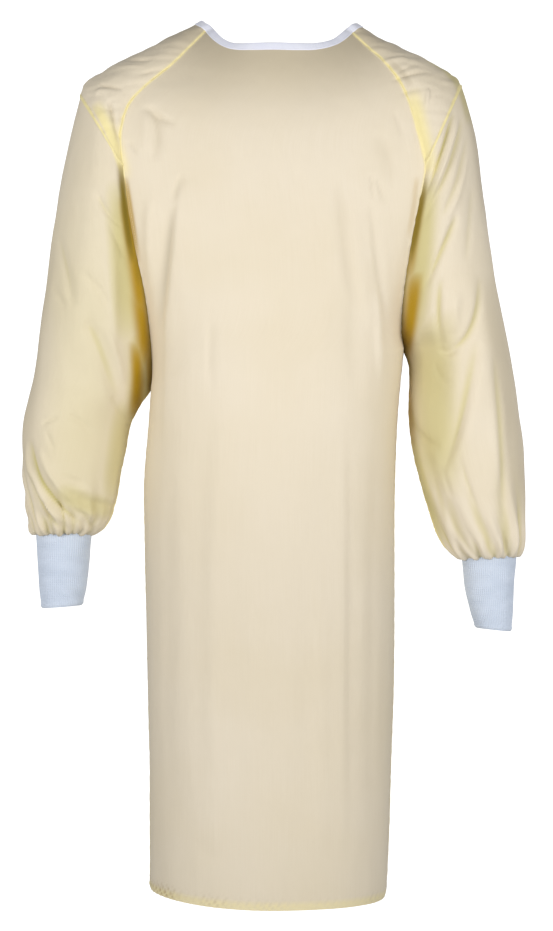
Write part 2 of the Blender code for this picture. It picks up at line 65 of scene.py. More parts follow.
# The cloth's thickness, and its rows and columns, which lie closer together next to a seam.
SHELL = 0.7
ROW_PITCH = 3.4
BODY_PITCH = 5.5
EDGE_OFFSETS = (0.0, 1.0, 2.0, 3.0, 4.2, 5.8)
EDGE_ROOM = 6.0
EDGE_ROOM_ALONG = 2.5
LEAST_GAP = 3.0
FRONT_COLUMNS = 128
BACK_COLUMNS = 74
SLEEVE_ROUND = 160
FINE_SAMPLES = 400
V_SEAM_ROW = 6
UNDERARM_ROW = 11
WELD_DIGITS = 2

# The body's form, and the overlap of its backs.
LAP_HALF = 62.0
LAP_STEP = 4.6
LAP_EASE = 38.0
CENTRE_X = -2.0
CHEST_FLATNESS = 0.8
NECK_SWEEP = 4.5
BODY_SWEEP = 2.0
SWEEP_CHANGE = 4.0
LEAST_SINE = 0.01

# Seams and hems.
SEAM_RISE = 0.8
SEAM_WIDTH = 2.8
SEAM_PUCKER = 0.4
SEAM_PUCKER_LENGTHS = (8.5, 31.0)
BAND_STEP = 1.6
HEM_WIDTH = 11.0
HEM_RISE = 0.5
HEM_PUCKER = 1.1
BACK_HEM_WIDTH = 12.0
BACK_HEM_UNEVEN = 0.4
BACK_HEM_WAVE = 7.0
TWIST_START = -30.0
TWIST_EASE = 90.0
TWIST_LEAST = 0.7
TWIST_MORE = 0.9
ROPE_PITCH = 11.0
ROPE_SLANT = 0.8
ROPE_MIDDLE = 0.6
ROPE_HALF = 8.0
ROPE_DRIFT = (1.3, 29.0)
ROPE_UNEVEN = ((17.0, 0.7), (41.0, 2.0))
ROPE_MEAN = 0.55
ROPE_SWING = 0.45

# Small waves of the cloth: how high, wide and tall they are, and a shift that sets each apart.
HANGING_RIPPLES = ((1.0, 46.0, 210.0, 3.0), (0.35, 19.0, 70.0, 11.0))
ARM_RIPPLE = (0.8, 34.0, 46.0, 21.0)
SHOULDER_RIPPLE = (1.4, 30.0, 7.0, 31.0)
SHOULDER_HANG = 0.6
UPPER_RIPPLE = (0.25, 15.0, 15.0, 41.0)
UPPER_FROM = -520.0
UPPER_EASE = 300.0
CUFF_RIPPLE = (0.9, 22.0, 30.0, 5.0)

# Creases, and the painted shade that lies in their troughs.
CURVE_SAMPLES = 25
CURVE_REACH = 2.5
FACING_START = 4.0
FACING_EASE = 14.0
CREASE_STRENGTH = 1.25
CREASE_NARROWING = 0.8
CREASE_SHADE_STRENGTH = 0.62
SHADE_NARROWING = 0.7
SHADE_DEPTH = 3.4
SHADE_POWER = 1.4

# The yellow of doubled cloth near its seams and hems, painted light and shade on the hem's puckers, and
# painted shade under the arms, at the sides and where it hangs away from the light.
# Each point keeps the yellow of doubled cloth, painted orange shade, painted yellow shade, painted shadow
# under the arms and painted neutral shade.
MARKS = ("double", "recess_shade", "shade", "slit_shadow", "neutral_shade")
SEAM_TINT_WIDTH = 2.6
TIP_TINT_WIDTH = 3.4
V_TINT = 0.9
V_TINT_HEIGHT = 80.0
V_TINT_WIDTH = 2.0
V_TINT_WIDENING = 12.0
BACK_HEM_TINT = 0.35
HEM_TINT = 0.5
# How much the hem's doubled yellow swings with its puckers, as painted light on their crests, then painted
# shade in their troughs, neutral and orange.
HEM_PUCKER_LIGHT_SWING = 0.6
HEM_TROUGH_SHADE = 0.8
HEM_TROUGH_AMBER_SHADE = 0.4
SLIT_TOP = -205.0
SLIT_TOP_EASE = 60.0
SLIT_END = -500.0
SLIT_END_EASE = 40.0
# Painted shadow along the dark line under each arm: its strength and width.
SLIT_SHADOW_STRENGTH = 0.8
SLIT_SHADOW_WIDTH = 3.0
SIDE_SHADE = 0.45
SIDE_SHADE_TOP = -520.0
SIDE_SHADE_EASE = 60.0
SIDE_SHADE_WIDTH = 16.0
LOW_SHADE = 0.26
LOW_SHADE_Z = -760.0
LOW_SHADE_REACH = 210.0
NECK_SHADE = 74.0

# The gathers round the end of a sleeve. A wave is its size, how often it goes round and its start.
GATHERS = 11
GATHER_HEIGHT = 3.4
GATHER_SHARE = 0.5
GATHER_DRIFT = (0.35, 2.0, 0.6)
GATHER_UNEVEN = (0.3, 3.0, 1.1)
GATHER_STRENGTH = 1.5
GATHER_REACH = 1.9
GATHER_SPREAD = 0.8
GATHER_PROFILE = ((-2.0, -0.5), (0.0, 1.0), (2.0, -0.5))
GATHER_TUCK = 6.0
GATHER_LEAST = 0.25
# Painted shade in the gathers' troughs: its share and its most.
GATHER_SHADE = 0.8
GATHER_SHADE_MOST = 0.66

STITCH_PITCH = 3.2
STITCH_LENGTH = 2.3
STITCH_RADIUS = 0.24
STITCH_LIFT = 0.6
STITCH_RINGS = ((-0.5, 0.25), (-0.3, 0.9), (0.3, 0.9), (0.5, 0.25))
STITCH_SIDES = 5
LOOK_AHEAD = 0.5

# The knit cuffs: ribs, the rolled end and the squeeze at the seam.
RIBS = 64
RIB_POINTS = 4
RIB_RISE = 0.32
RIB_FADE = 3.0
RIB_LEAST = 0.15
CUFF_PITCH = 2.4
CUFF_WALL = 1.7
CUFF_ROLL = 1.0
CUFF_ROLL_AT = 3.0
CUFF_TURN = 0.5
CUFF_TURN_WIDTH = 1.6
CUFF_SQUEEZE = 0.8
CUFF_SQUEEZE_WIDTH = 7.0
CUFF_RIPPLE_EASE = 20.0

BINDING_WIDTH = 10.0
BINDING_LOW = -1.4
BINDING_THICK = 2.3
BINDING_SECTION = 14
BINDING_SMOOTHING = 6
BINDING_PITCH = 2.6
BINDING_BELOW = 5
BINDING_SQUARE = (0.55, 0.7)
BINDING_PUCKERS = ((0.10, 2.3, 0.0), (0.08, 7.1, 1.0))
BINDING_EDGE = 0.9
BINDING_STITCH = 1.9

SNAP_SIDES = 48
SNAP_PLACE = (44.0, -48.0)
SNAP_SHARP = 35.0
SNAP_PROFILE = ((6.0, 0.1), (6.25, 0.5), (6.2, 1.2), (5.7, 1.75), (4.6, 2.15), (3.9, 2.2), (3.6, 2.0),
                (2.9, 1.95), (2.5, 2.15), (1.4, 2.3), (0.4, 2.35))

# Each line of stitches: the panel, its edge and the distance from that edge.
SEAM_STITCH = 3.4
HEM_STITCH = 9.6
EDGE_STITCH = 10.6
STITCH_LINES = {
    "front": (("front", "left", SEAM_STITCH), ("front", "right", SEAM_STITCH),
              ("front", "bottom", HEM_STITCH)),
    "back_left": (("back_left", "left", SEAM_STITCH), ("back_left", "right", EDGE_STITCH),
                  ("back_left", "bottom", HEM_STITCH)),
    "back_right": (("back_right", "right", SEAM_STITCH), ("back_right", "left", EDGE_STITCH),
                   ("back_right", "bottom", HEM_STITCH)),
    "shoulders": (("shoulder_left", "bottom", SEAM_STITCH), ("shoulder_right", "bottom", SEAM_STITCH)),
}

# Colours and surfaces. Each finish is a roughness, a sheen, the sheen's roughness and a specular level,
# each noise is a scale and a detail, and each depth is the height of a bump.
CLOTH = (0.82, 0.735, 0.59, 1.0)
CLOTH_SHADE = (0.79, 0.70, 0.535, 1.0)
CLOTH_DARK = (0.66, 0.55, 0.36, 1.0)
# Painted shade: a neutral one with its share, and a yellow one with its share.
CLOTH_NEUTRAL_SHADE = (0.50, 0.43, 0.30, 1.0)
NEUTRAL_SHADE_SHARE = 0.7
CREASE_SHADE = (0.60, 0.53, 0.22, 1.0)
CREASE_SHARE = 0.85
SEAM_YELLOW = (0.90, 0.79, 0.40, 1.0)
# Painted orange shade in the armpits and painted shadow along the dark line under each arm.
RECESS_SHADE_AMBER = (0.44, 0.26, 0.0, 1.0)
SLIT_SHADOW_BROWN = (0.22, 0.15, 0.0, 1.0)
CLOTH_FINISH = (0.5, 0.08, 0.4, 0.3)
CLOTH_ROUGHNESS = (0.46, 0.56)
THREADS = 830.0
THREAD_DEPTH = 0.00006
SLUB_SCALE = (900.0, 12.0, 1.0)
SLUB_NOISE = (1.0, 2.0)
CLOTH_NOISE = (5.0, 3.0)
CRUMPLE_SCALE = (1.0, 1.0, 0.35)
CRUMPLE_NOISE = (55.0, 3.0)
CRUMPLE_DEPTH = 0.0006
TONE = 0.10
KNIT = (0.66, 0.73, 0.84, 1.0)
KNIT_SHADE = (0.56, 0.63, 0.74, 1.0)
# Painted shade in the knit's grooves.
KNIT_GROOVE_SHADE = (0.42, 0.50, 0.64, 1.0)
KNIT_FINISH = (0.8, 0.5, 0.5, 0.25)
KNIT_COURSES = 100.0
KNIT_WALES = 110.0
KNIT_SCALE = (1.0, 1.0, 3.0)
KNIT_NOISE = (14.0, 2.0)
FUZZ_NOISE = (700.0, 2.0)
FUZZ = 0.4
# How much painted shade lies in the grooves between ribs and between stitches.
RIB_GROOVE_SHADE = 0.35
STITCH_GROOVE_SHADE = 0.12
KNIT_DEPTH = 0.00025
TAPE = (0.83, 0.85, 0.95, 1.0)
TAPE_SHADE = (0.80, 0.82, 0.94, 1.0)
TAPE_FINISH = (0.6, 0.3, 0.5, 0.3)
TAPE_NOISE = (60.0, 2.0)
TWILL = 160.0
# How much painted shade lies in the twill's grooves.
TWILL_GROOVE_SHADE = 0.15
TWILL_DEPTH = 0.00015
THREAD = (0.86, 0.76, 0.52, 1.0)
THREAD_TAPE = (0.80, 0.82, 0.92, 1.0)
THREAD_FINISH = (0.55, 0.3, 0.5, 0.4)
THREAD_DARKER = 0.82
TWIST_NOISE = (2600.0, 1.0)
TWIST_DEPTH = 0.0001
SNAP = (0.86, 0.86, 0.83, 1.0)
SNAP_SHADE = (0.76, 0.76, 0.72, 1.0)
SNAP_FINISH = (0.32, 0.0, 0.5, 0.5)
SNAP_ROUGHNESS = (0.28, 0.4)
SNAP_NOISE = (240.0, 3.0)
SNAP_DEPTH = 0.00008
BLOTCHES = (0.35, 0.65)
NOISE_RANGE = (0.3, 0.7)
STAGE_COLOUR = (0.85, 0.85, 0.85, 1.0)
STAGE_FINISH = (0.9, 0.0, 0.5, 0.1)
WHITE = (1.0, 1.0, 1.0, 1.0)

# The floor, the lit screen far behind, the lights and the camera.
STAGE_STEPS = 13
FLOOR_Z = -2000.0
FLOOR_ENDS = (-1500.0, 1500.0)
FLOOR_HALF = 1800.0
SCREEN_BACK = 6900.0
SCREEN_BULGE = 160.0
SCREEN_ENDS = (-3400.0, 2300.0)
SCREEN_HALF = 1850.0
SCREEN_GLOW = 1.0
LIGHTS = (
    ("left_softbox", (-1.75, -2.0, -0.40), (1.1, 1.1), 10.1),
    ("right_softbox", (1.75, -2.0, -0.40), (1.1, 1.1), 10.1),
    ("back_softbox", (0.0, 2.3, -0.55), (0.25, 0.8), 6.0),
)
LIGHT_COLOUR = (1.0, 0.99, 0.98)
LIGHT_AIM = (0.03, 0.0, -0.42)
LIGHT_SPREAD = 90.0
ROOM_STRENGTH = 0.3
CAMERA_DISTANCE = 3.0
CAMERA_X = 0.0047
CAMERA_Z = -0.593
SENSOR = 36.0
FRAME_HEIGHT = 931
METRES_PER_PIXEL = 0.00135

# Each row is one section of a sleeve or cuff, from its upper end. The seam is the raglan or underarm
# line, the outer point is the top of the shoulder or the outside of the arm, and front and back are the
# depths of the fullest points.
TUBE_COLUMNS = ("seam_x", "seam_z", "outer_x", "outer_z", "front", "back",
                "hold", "crest_at", "axis_y", "gather", "pinch")
SLEEVES = {
    "left": (
        (-89, -13.5, -105, 0, 36.7, 36), (-110, -38, -130, -12, 54, 52), (-133, -63, -165, -30, 68, 65),
        (-169, -96, -205, -50, 84, 79), (-191, -123, -232, -66, 92, 87), (-200, -161, -251, -77, 98, 92),
        (-197, -201, -259, -96, 102, 96), (-190, -254, -274, -158, 104, 98),
        (-180, -312, -292, -251, 102, 96), (-168, -374, -305, -349, 95, 90),
        (-162, -432, -314.5, -421, 85, 82), (-164, -486, -321, -467, 76, 74),
        (-177, -508, -328.5, -501, 73, 72), (-192, -537, -335, -532, 70, 69),
        (-198, -572, -337, -562, 66, 66), (-205, -604, -335, -599, 63, 63),
        (-210, -634, -331, -631, 58, 58), (-218, -660, -328.5, -660, 51, 51),
        (-228, -677, -327, -677, 42, 42), (-239, -684, -324, -684, 33, 33),
        (-247.5, -685, -316, -684, 25, 25),
    ),
    "right": (
        (105, -16, 121, -3, 36.7, 36), (126, -39, 144, -18, 54, 52), (145, -58, 171, -31, 68, 65),
        (164, -84, 200, -45, 83, 78), (178, -114, 223, -57, 92, 87), (188, -151, 240, -68, 98, 92),
        (200, -200, 252, -82, 102, 96), (191, -252, 271, -147, 104, 98), (181, -306, 285, -241, 102, 96),
        (173, -366, 300, -345, 95, 90), (171, -407, 313, -410, 85, 82), (176, -435, 319, -441, 79, 77),
        (184, -462, 323, -470, 76, 74), (183, -518, 330, -518, 72, 71), (187, -564, 336, -561, 69, 68),
        (195.5, -604, 338, -602, 65, 65), (206.5, -639, 339.5, -639, 60, 60),
        (221, -676, 339, -673, 53, 53), (236.5, -704, 336, -700, 43, 43), (249, -716, 331, -713, 33, 33),
        (257.5, -717, 324.5, -714, 25, 25),
    ),
}

CUFFS = {
    "left": (
        (-244, -678, -318, -677, 29, 29), (-248, -723, -315, -720, 25, 25),
        (-252, -757, -313, -759, 24, 24), (-258, -780, -309, -784, 22, 22),
    ),
    "right": (
        (254, -710, 327, -707, 29, 29), (259, -754, 323, -753, 25, 25), (266, -788, 321.5, -789, 24, 24),
        (274, -810, 319, -815, 22, 22),
    ),
}

# The rest of each sleeve row, the same on both sides. hold is the share of the depth that the seam
# keeps, crest_at is how far the fullest point lies from the seam to the outer point, gather is the
# share of the gathers' height, and pinch draws the section to a point at the seam.
SLEEVE_FORM = (
    (0.98, 0.06, 0, 0, 0), (0.98, 0.08, 0, 0, 0), (0.975, 0.1, 0, 0, 0), (0.97, 0.12, 0, 0, 0),
    (0.965, 0.14, 0, 0, 0), (0.955, 0.16, 0, 0, 0), (0.93, 0.18, 0, 0, 0), (0.87, 0.24, 0, 0, 0),
    (0.78, 0.3, 0, 0, 0.1), (0.62, 0.38, 0, 0, 0.3), (0.4, 0.44, 0, 0, 0.55), (0.0, 0.5, 0, 0, 0.75),
    (0.0, 0.5, -4, 0, 0.6), (0.0, 0.5, -6, 0, 0.3), (0.0, 0.5, -8, 0, 0.1), (0.0, 0.5, -10, 0, 0),
    (0.0, 0.5, -11, 0.35, 0), (0.0, 0.5, -12, 1.0, 0), (0.0, 0.5, -12, 0.9, 0), (0.0, 0.5, -12, 0.45, 0),
    (0.0, 0.5, -12, 0.0, 0),
)
CUFF_FORM = (0.0, 0.5, -12, 0, 0)

# The centre of the front and of the back, one row for each sleeve section down to the underarm.
CHEST_COLUMNS = ("front_z", "front", "back_z", "back")
CHEST = (
    (-48, 92, -26, 60), (-72, 100, -52, 76), (-98, 107, -80, 88), (-126, 113, -110, 97),
    (-152, 117, -140, 103), (-182, 120, -172, 107), (-212, 122, -206, 110), (-262, 124, -258, 113),
    (-315, 125, -313, 114), (-372, 125, -371, 115), (-424, 125, -424, 115), (-464, 125, -464, 115),
)

# The body below the underarm, down to the hem.
SKIRT_COLUMNS = ("left_x", "left_z", "right_x", "right_z", "centre_z", "front", "back")
SKIRT = (
    (-164, -486, 176, -435, -464, 125, 115), (-168, -545, 168, -518, -532, 125, 115),
    (-173, -613, 164, -596, -605, 124, 114), (-172, -682, 162.5, -675, -678, 124, 113),
    (-170, -776, 162.5, -775, -776, 124, 113), (-168, -896, 161, -896, -896, 125, 114),
    (-165.5, -991, 158, -991, -991, 125, 115), (-165, -1085, 156, -1085, -1085, 126, 116),
    (-165, -1145, 153, -1156, -1155, 126, 116), (-165, -1146, 153, -1157, -1156, 126, 116),
    (-164, -1159, 150, -1170, -1169, 126, 116),
)

# The creases and the strokes of colour, most strokes painted shade, each a soft curve seen from the front or
# from the back, from its upper end. left and right are its widths on those sides. A crease's amount is its
# rise, with a trough below zero, and a stroke's is its share of colour.
CURVE_COLUMNS = ("from_x", "from_z", "via_x", "via_z", "to_x", "to_z", "left", "right", "amount")
CREASES = {
    "front": (
        (-162, -123, -151, -154, -156, -198, 4, 10, -2.4),
        (-165, -128, -166, -157, -164, -183, 10, 10, 1.8), (-169, -123, -149, -139, -126, -149, 5, 6, -2.1),
        (-190, -169, -184, -178, -178, -189, 3, 5, -1.4), (-117, -214, -125, -230, -130, -248, 4, 9, -1.8),
        (-118, -222, -126, -300, -142, -445, 7, 26, 2.6), (-131, -254, -138, -326, -149, -417, 12, 6, -2.4),
        (-161, -243, -162, -293, -161, -365, 8, 8, 2), (-138, -378, -139, -456, -143, -560, 5, 18, 1.6),
        (-79, -406, -82, -445, -80, -503, 5, 7, -1.1), (-199, -53, -181, -57, -160, -58, 3, 3, -1.6),
        (-209, -66, -188, -67, -165, -68, 3, 3, 1.6), (-229, -92, -214, -96, -196, -100, 3, 4, -2.6),
        (-235, -107, -227, -102, -218, -107, 3, 4, 1.9), (-230, -123, -214, -127, -196, -123, 3, 3, -1.4),
        (-173, -79, -157, -74, -139, -71, 3, 3, -1.4), (-216, -115, -210, -136, -201, -167, 4, 5, -3.2),
        (-230, -235, -217, -263, -194, -282, 4, 6, -2.4), (-217, -271, -205, -295, -191, -323, 6, 8, -2.2),
        (-285, -284, -273, -336, -262, -386, 6, 9, -2.2), (-294, -354, -285, -367, -273, -386, 3, 5, -1.6),
        (-253, -339, -227, -365, -220, -391, 5, 7, -1.8), (-210, -300, -208, -365, -207, -443, 8, 8, 2.2),
        (-248, -406, -229, -436, -201, -521, 11, 13, -3.1), (-223, -404, -209, -440, -197, -487, 7, 7, 2.6),
        (-213, -500, -205, -516, -195, -534, 4, 5, -1.8), (-270, -526, -256, -535, -238, -547, 3, 4, -1.9),
        (-305, -539, -296, -534, -282, -529, 3, 3, -1.6), (-300, -549, -294, -560, -290, -575, 3, 3, -1.3),
        (-282, -607, -266, -612, -248, -617, 3, 4, -1.6), (-277, -620, -259, -625, -238, -625, 4, 4, 1.4),
        (-322, -556, -303, -620, -246, -676, 5, 6, -4.6), (-328, -560, -314, -622, -268, -676, 4, 5, 4.2),
        (-324, -600, -304, -646, -279, -676, 4, 4, -4), (-256, -633, -235, -643, -212, -646, 5, 6, -2.4),
        (-269, -644, -246, -653, -225, -660, 4, 4, 1.6), (129, -162, 147, -188, 155, -230, 14, 14, -1.2),
        (159, -131, 163, -146, 169, -165, 3, 5, -1.4), (178, -133, 181, -159, 183, -185, 9, 7, 1.5),
        (125, -214, 128, -230, 129, -248, 3, 4, -1.5), (134, -219, 139, -235, 146, -253, 3, 5, -1.4),
        (83, -217, 91, -300, 108, -404, 8, 16, -1.7), (98, -235, 108, -313, 129, -417, 8, 14, 1.8),
        (125, -248, 133, -313, 147, -404, 5, 8, -1.5), (103, -378, 100, -430, 105, -508, 10, 16, -1.1),
        (137, -365, 139, -417, 144, -482, 7, 8, 2), (155, -89, 178, -80, 207, -74, 3, 3, -2.4),
        (160, -79, 176, -70, 191, -63, 3, 3, -1.8), (144, -63, 160, -58, 178, -55, 3, 3, 1.6),
        (165, -107, 181, -102, 196, -100, 3, 3, -1.6), (203, -100, 202, -111, 200, -126, 3, 3, 2.2),
        (238, -126, 221, -183, 196, -243, 4, 5, -4.2), (248, -133, 233, -196, 191, -282, 4, 6, -2.8),
        (256, -157, 241, -222, 215, -276, 5, 5, -1.8), (243, -141, 228, -188, 204, -248, 3, 3, 1.6),
        (256, -183, 246, -230, 228, -269, 4, 4, 1.5), (241, -263, 222, -308, 196, -362, 5, 7, -3.4),
        (264, -222, 259, -274, 254, -328, 6, 6, -1.2), (220, -347, 217, -393, 222, -438, 6, 6, -3.4),
        (272, -341, 261, -412, 225, -443, 5, 7, -3.2), (241, -365, 238, -393, 238, -419, 9, 9, 2.4),
        (217, -438, 230, -445, 243, -440, 4, 5, -2.4), (269, -425, 246, -534, 219, -612, 13, 6, -3.2),
        (280, -425, 264, -521, 238, -599, 8, 20, 2.8), (291, -445, 300, -560, 306, -682, 6, 8, -2.6),
        (181, -487, 191, -547, 222, -568, 7, 7, -2.8), (189, -547, 209, -599, 233, -677, 7, 9, -2.6),
        (243, -575, 256, -617, 269, -653, 3, 5, -1.9), (226, -599, 230, -617, 237, -635, 3, 4, -1.3),
        (212, -456, 222, -479, 238, -487, 5, 5, -1), (100, -534, 99, -716, 98, -1106, 6, 26, -0.9),
        (94, -547, 92, -768, 94, -1093, 14, 6, 0.9), (-71, -534, -77, -768, -74, -1093, 12, 16, 0.8),
        (-95, -560, -97, -768, -95, -1028, 12, 12, -0.7), (-30, -716, -28, -898, -31, -1106, 12, 16, 0.7),
        (-1, -768, 1, -950, -1, -1132, 12, 12, -0.5), (39, -664, 43, -833, 35, -1119, 12, 15, -0.6),
        (61, -716, 64, -898, 59, -1106, 12, 12, 0.6), (-136, -586, -139, -820, -136, -1106, 9, 14, -0.8),
        (-100, -1075, -87, -1090, -71, -1108, 14, 15, -0.6),
        (134, -534, 131, -768, 129, -1106, 10, 9, -0.9), (-310, -568, -284, -618, -232, -668, 5, 5, 3.4),
        (-300, -640, -294, -658, -290, -680, 3, 3, 3), (-287, -632, -279, -654, -274, -680, 3, 3, -3.4),
        (-270, -640, -262, -660, -258, -680, 3, 3, 3), (-256, -648, -246, -664, -240, -680, 3, 4, -2.8),
        (204, -417, 217, -508, 207, -599, 26, 30, -2.2), (208, -250, 202, -320, 194, -395, 14, 14, -1.8),
        (-203, -235, -192, -352, -197, -515, 20, 12, -2),
        (-285, -634, -248, -647, -212, -640, 14, 14, -1.5), (285, -640, 300, -560, 296, -470, 12, 20, 2),
    ),
    "back": (
        (-150, -110, -132, -150, -120, -215, 6, 10, -2.4), (-128, -120, -112, -170, -108, -240, 8, 8, 1.8),
        (-168, -190, -160, -290, -146, -430, 8, 20, -3.0), (-120, -230, -126, -330, -132, -450, 10, 8, 2.4),
        (-92, -300, -96, -420, -92, -560, 7, 12, -1.6), (142, -120, 128, -165, 118, -230, 10, 6, -2.6),
        (156, -180, 150, -280, 134, -430, 14, 8, -3.0), (122, -240, 128, -340, 122, -470, 8, 12, 2.2),
        (98, -280, 92, -400, 96, -520, 8, 8, -1.6), (-78, -90, -60, -102, -40, -106, 5, 7, -1.6),
        (112, -92, 92, -108, 72, -112, 5, 7, -1.5), (-24, -150, -36, -190, -34, -250, 7, 7, -1.2),
        (40, -170, 34, -230, 38, -310, 7, 9, -1.3), (-48, -520, -50, -760, -46, -1100, 9, 14, -1.8),
        (-84, -640, -80, -860, -86, -1120, 10, 9, 1.5), (-124, -560, -128, -780, -122, -1120, 8, 12, -1.9),
        (74, -480, 80, -740, 76, -1110, 12, 8, -1.8), (108, -600, 104, -820, 110, -1120, 9, 12, 1.5),
        (134, -540, 130, -780, 132, -1100, 9, 8, -1.7), (18, -460, 12, -720, 16, -1050, 10, 16, -1.1),
        (-228, -130, -214, -190, -190, -250, 5, 7, -2.6), (-244, -150, -226, -215, -196, -290, 5, 6, -2.4),
        (-262, -190, -240, -270, -205, -340, 6, 8, -2.8), (-276, -260, -262, -350, -250, -420, 7, 7, -2.0),
        (-236, -370, -262, -420, -290, -430, 6, 7, -3.0), (-220, -430, -250, -470, -290, -480, 5, 7, -2.6),
        (-214, -480, -240, -520, -280, -540, 5, 6, -2.2), (-302, -440, -300, -540, -290, -640, 8, 8, -2.2),
        (-238, -540, -248, -600, -262, -650, 6, 8, -2.2), (218, -120, 206, -190, 186, -260, 6, 6, -2.6),
        (236, -140, 220, -220, 194, -300, 6, 5, -2.6), (254, -200, 236, -290, 206, -350, 7, 7, -2.8),
        (270, -280, 262, -360, 240, -430, 8, 7, -2.0), (226, -350, 254, -400, 290, -416, 6, 6, -3.0),
        (216, -410, 246, -450, 292, -462, 5, 7, -2.6), (222, -470, 250, -510, 286, -520, 5, 6, -2.0),
        (300, -430, 306, -540, 300, -650, 8, 8, -2.4), (240, -520, 252, -600, 272, -670, 6, 9, -2.4),
    ),
}

# Each kind of stroke, in the order below: painted shadow on the dark line where a sleeve meets the body,
# painted deep orange shade in the armpits, painted yellower shade beside it, the pale yellow of two layers,
# painted orange shade on the front's edge, and painted shade at the shoulders and down the outside of the
# arms.
STROKES = {
    "slit_shadow": (
        (-199, -195, -193, -262, -183, -330, 5, 4, 1.0), (-189, -262, -181, -309, -173, -361, 5, 4, 0.5),
        (199, -216, 189, -276, 177, -332, 4, 5, 0.9), (169, -361, 169, -404, 173, -443, 4, 4, 0.5),
    ),
    "armpit_shade": (
        (-194, -240, -186, -299, -174, -375, 8, 7, 1.0), (-186, -295, -178, -348, -170, -421, 10, 9, 1.0),
        (-178, -359, -172, -408, -168, -464, 11, 9, 1.0), (-168, -421, -165, -456, -165, -507, 5, 6, 0.8),
        (-183, -427, -181, -478, -187, -533, 8, 7, 1.0), (194, -229, 186, -295, 177, -355, 6, 6, 0.7),
        (189, -338, 184, -393, 176, -462, 12, 8, 1.0), (181, -434, 181, -487, 189, -573, 4, 5, 0.6),
    ),
    "veil_shade": (
        (-199, -216, -195, -324, -189, -441, 20, 22, 1.0),
        (-178, -408, -175, -480, -191, -586, 18, 16, 1.0),
        (-191, -500, -205, -573, -212, -652, 18, 18, 0.8),
        (-289, -619, -249, -645, -205, -650, 14, 20, 0.8),
        (-244, -117, -249, -414, -265, -698, 52, 52, 0.15),
        (-248, -203, -249, -441, -265, -698, 52, 52, 0.28),
        (-252, -289, -249, -467, -265, -698, 52, 52, 0.4), (202, -210, 195, -309, 184, -441, 16, 16, 1.0),
        (207, -388, 215, -507, 217, -639, 26, 28, 0.9), (186, -546, 201, -619, 231, -705, 9, 8, 1.0),
        (199, -50, 244, -82, 260, -144, 7, 14, 0.8),
    ),
    "double": (
        (-238, -118, -214, -163, -194, -224, 3, 11, 1.0), (178, -100, 191, -157, 205, -219, 3, 13, 1.0),
    ),
    "front_edge_shade": (
        (-194, -214, -186, -262, -177, -332, 4, 4, 0.8), (188, -214, 185, -249, 178, -295, 4, 3, 0.3),
    ),
    "neutral_shade": (
        (281, -335, 313, -520, 329, -678, 16, 16, 0.75), (226, -66, 265, -124, 283, -282, 12, 14, 0.7),
        (-292, -295, -321, -467, -329, -625, 12, 12, 0.45), (-247, -74, -228, -55, -197, -42, 8, 6, 0.5),
        (147, -55, 168, -76, 181, -97, 5, 5, 0.8),
    ),
}

# The finer gathers above the knit cuffs. turn is the place round the sleeve's end as a share of a turn,
# from the underarm seam over the front, reach is how far up the sleeve a ridge fades, slant is how far it
# leans round the sleeve over that reach, and width and rise are its half width and height.
GATHER_COLUMNS = ("turn", "reach", "slant", "width", "rise")
GATHER_RIDGES = {
    "left": (
        (0.03, 34, 4, 3.4, 2.2), (0.075, 22, -3, 2.6, 1.6), (0.12, 40, 10, 3.8, 2.4),
        (0.165, 20, 4, 2.4, 1.5), (0.2, 30, 12, 3.0, 2.0), (0.245, 46, 22, 3.6, 2.6),
        (0.29, 26, 10, 2.6, 2.2), (0.325, 38, 20, 3.2, 2.9), (0.36, 60, 34, 3.6, 3.2),
        (0.4, 30, 16, 2.6, 2.4), (0.435, 44, 20, 3.0, 2.6), (0.475, 26, 6, 2.6, 2.0),
        (0.52, 36, -6, 3.4, 2.2), (0.56, 24, 3, 2.6, 1.6), (0.605, 46, -12, 3.8, 2.6),
        (0.65, 26, 4, 2.6, 1.8), (0.7, 38, -8, 3.4, 2.4), (0.745, 22, 6, 2.6, 1.6),
        (0.79, 44, 10, 3.6, 2.4), (0.84, 26, -6, 2.8, 1.8), (0.885, 34, 6, 3.2, 2.2),
        (0.935, 24, 2, 2.8, 1.8), (0.975, 30, -4, 3.0, 2.0),
    ),
    "right": (
        (0.025, 26, -4, 3.0, 1.9), (0.07, 36, 6, 3.4, 2.3), (0.115, 20, 0, 2.6, 1.5),
        (0.16, 30, -8, 3.2, 2.2), (0.205, 22, 4, 2.6, 1.9), (0.245, 40, -10, 3.4, 2.6),
        (0.29, 24, 4, 2.8, 2.2), (0.335, 34, -12, 3.2, 2.7), (0.375, 20, 2, 2.4, 1.9),
        (0.415, 42, -10, 3.6, 2.9), (0.46, 26, -4, 2.8, 2.1), (0.505, 32, 4, 3.2, 2.2),
        (0.55, 22, 0, 2.6, 1.6), (0.595, 42, 12, 3.8, 2.5), (0.645, 24, -4, 2.6, 1.7),
        (0.69, 38, 8, 3.4, 2.3), (0.735, 24, -6, 2.8, 1.8), (0.785, 40, -8, 3.6, 2.4),
        (0.83, 22, 6, 2.6, 1.6), (0.88, 36, 4, 3.2, 2.1), (0.93, 26, -4, 3.0, 1.9), (0.97, 22, 3, 2.6, 1.6),
    ),
}


def eased(size, share):
    """Return a size that grows softly as its share goes from 0 to 1."""
    return size * share * share * (3.0 - 2.0 * share)


def wave(angle, size, turns, start):
    """Return a wave that goes round a number of times."""
    return size * np.sin(turns * angle + start)


def bell(distance, width, power=2):
    """Return a share that is 1 at a line and fades over its width."""
    return np.exp(-(distance / width) ** power)


def unit(directions):
    """Return directions one long."""
    return directions / np.maximum(np.linalg.norm(directions, axis=1), TINY)[:, None]


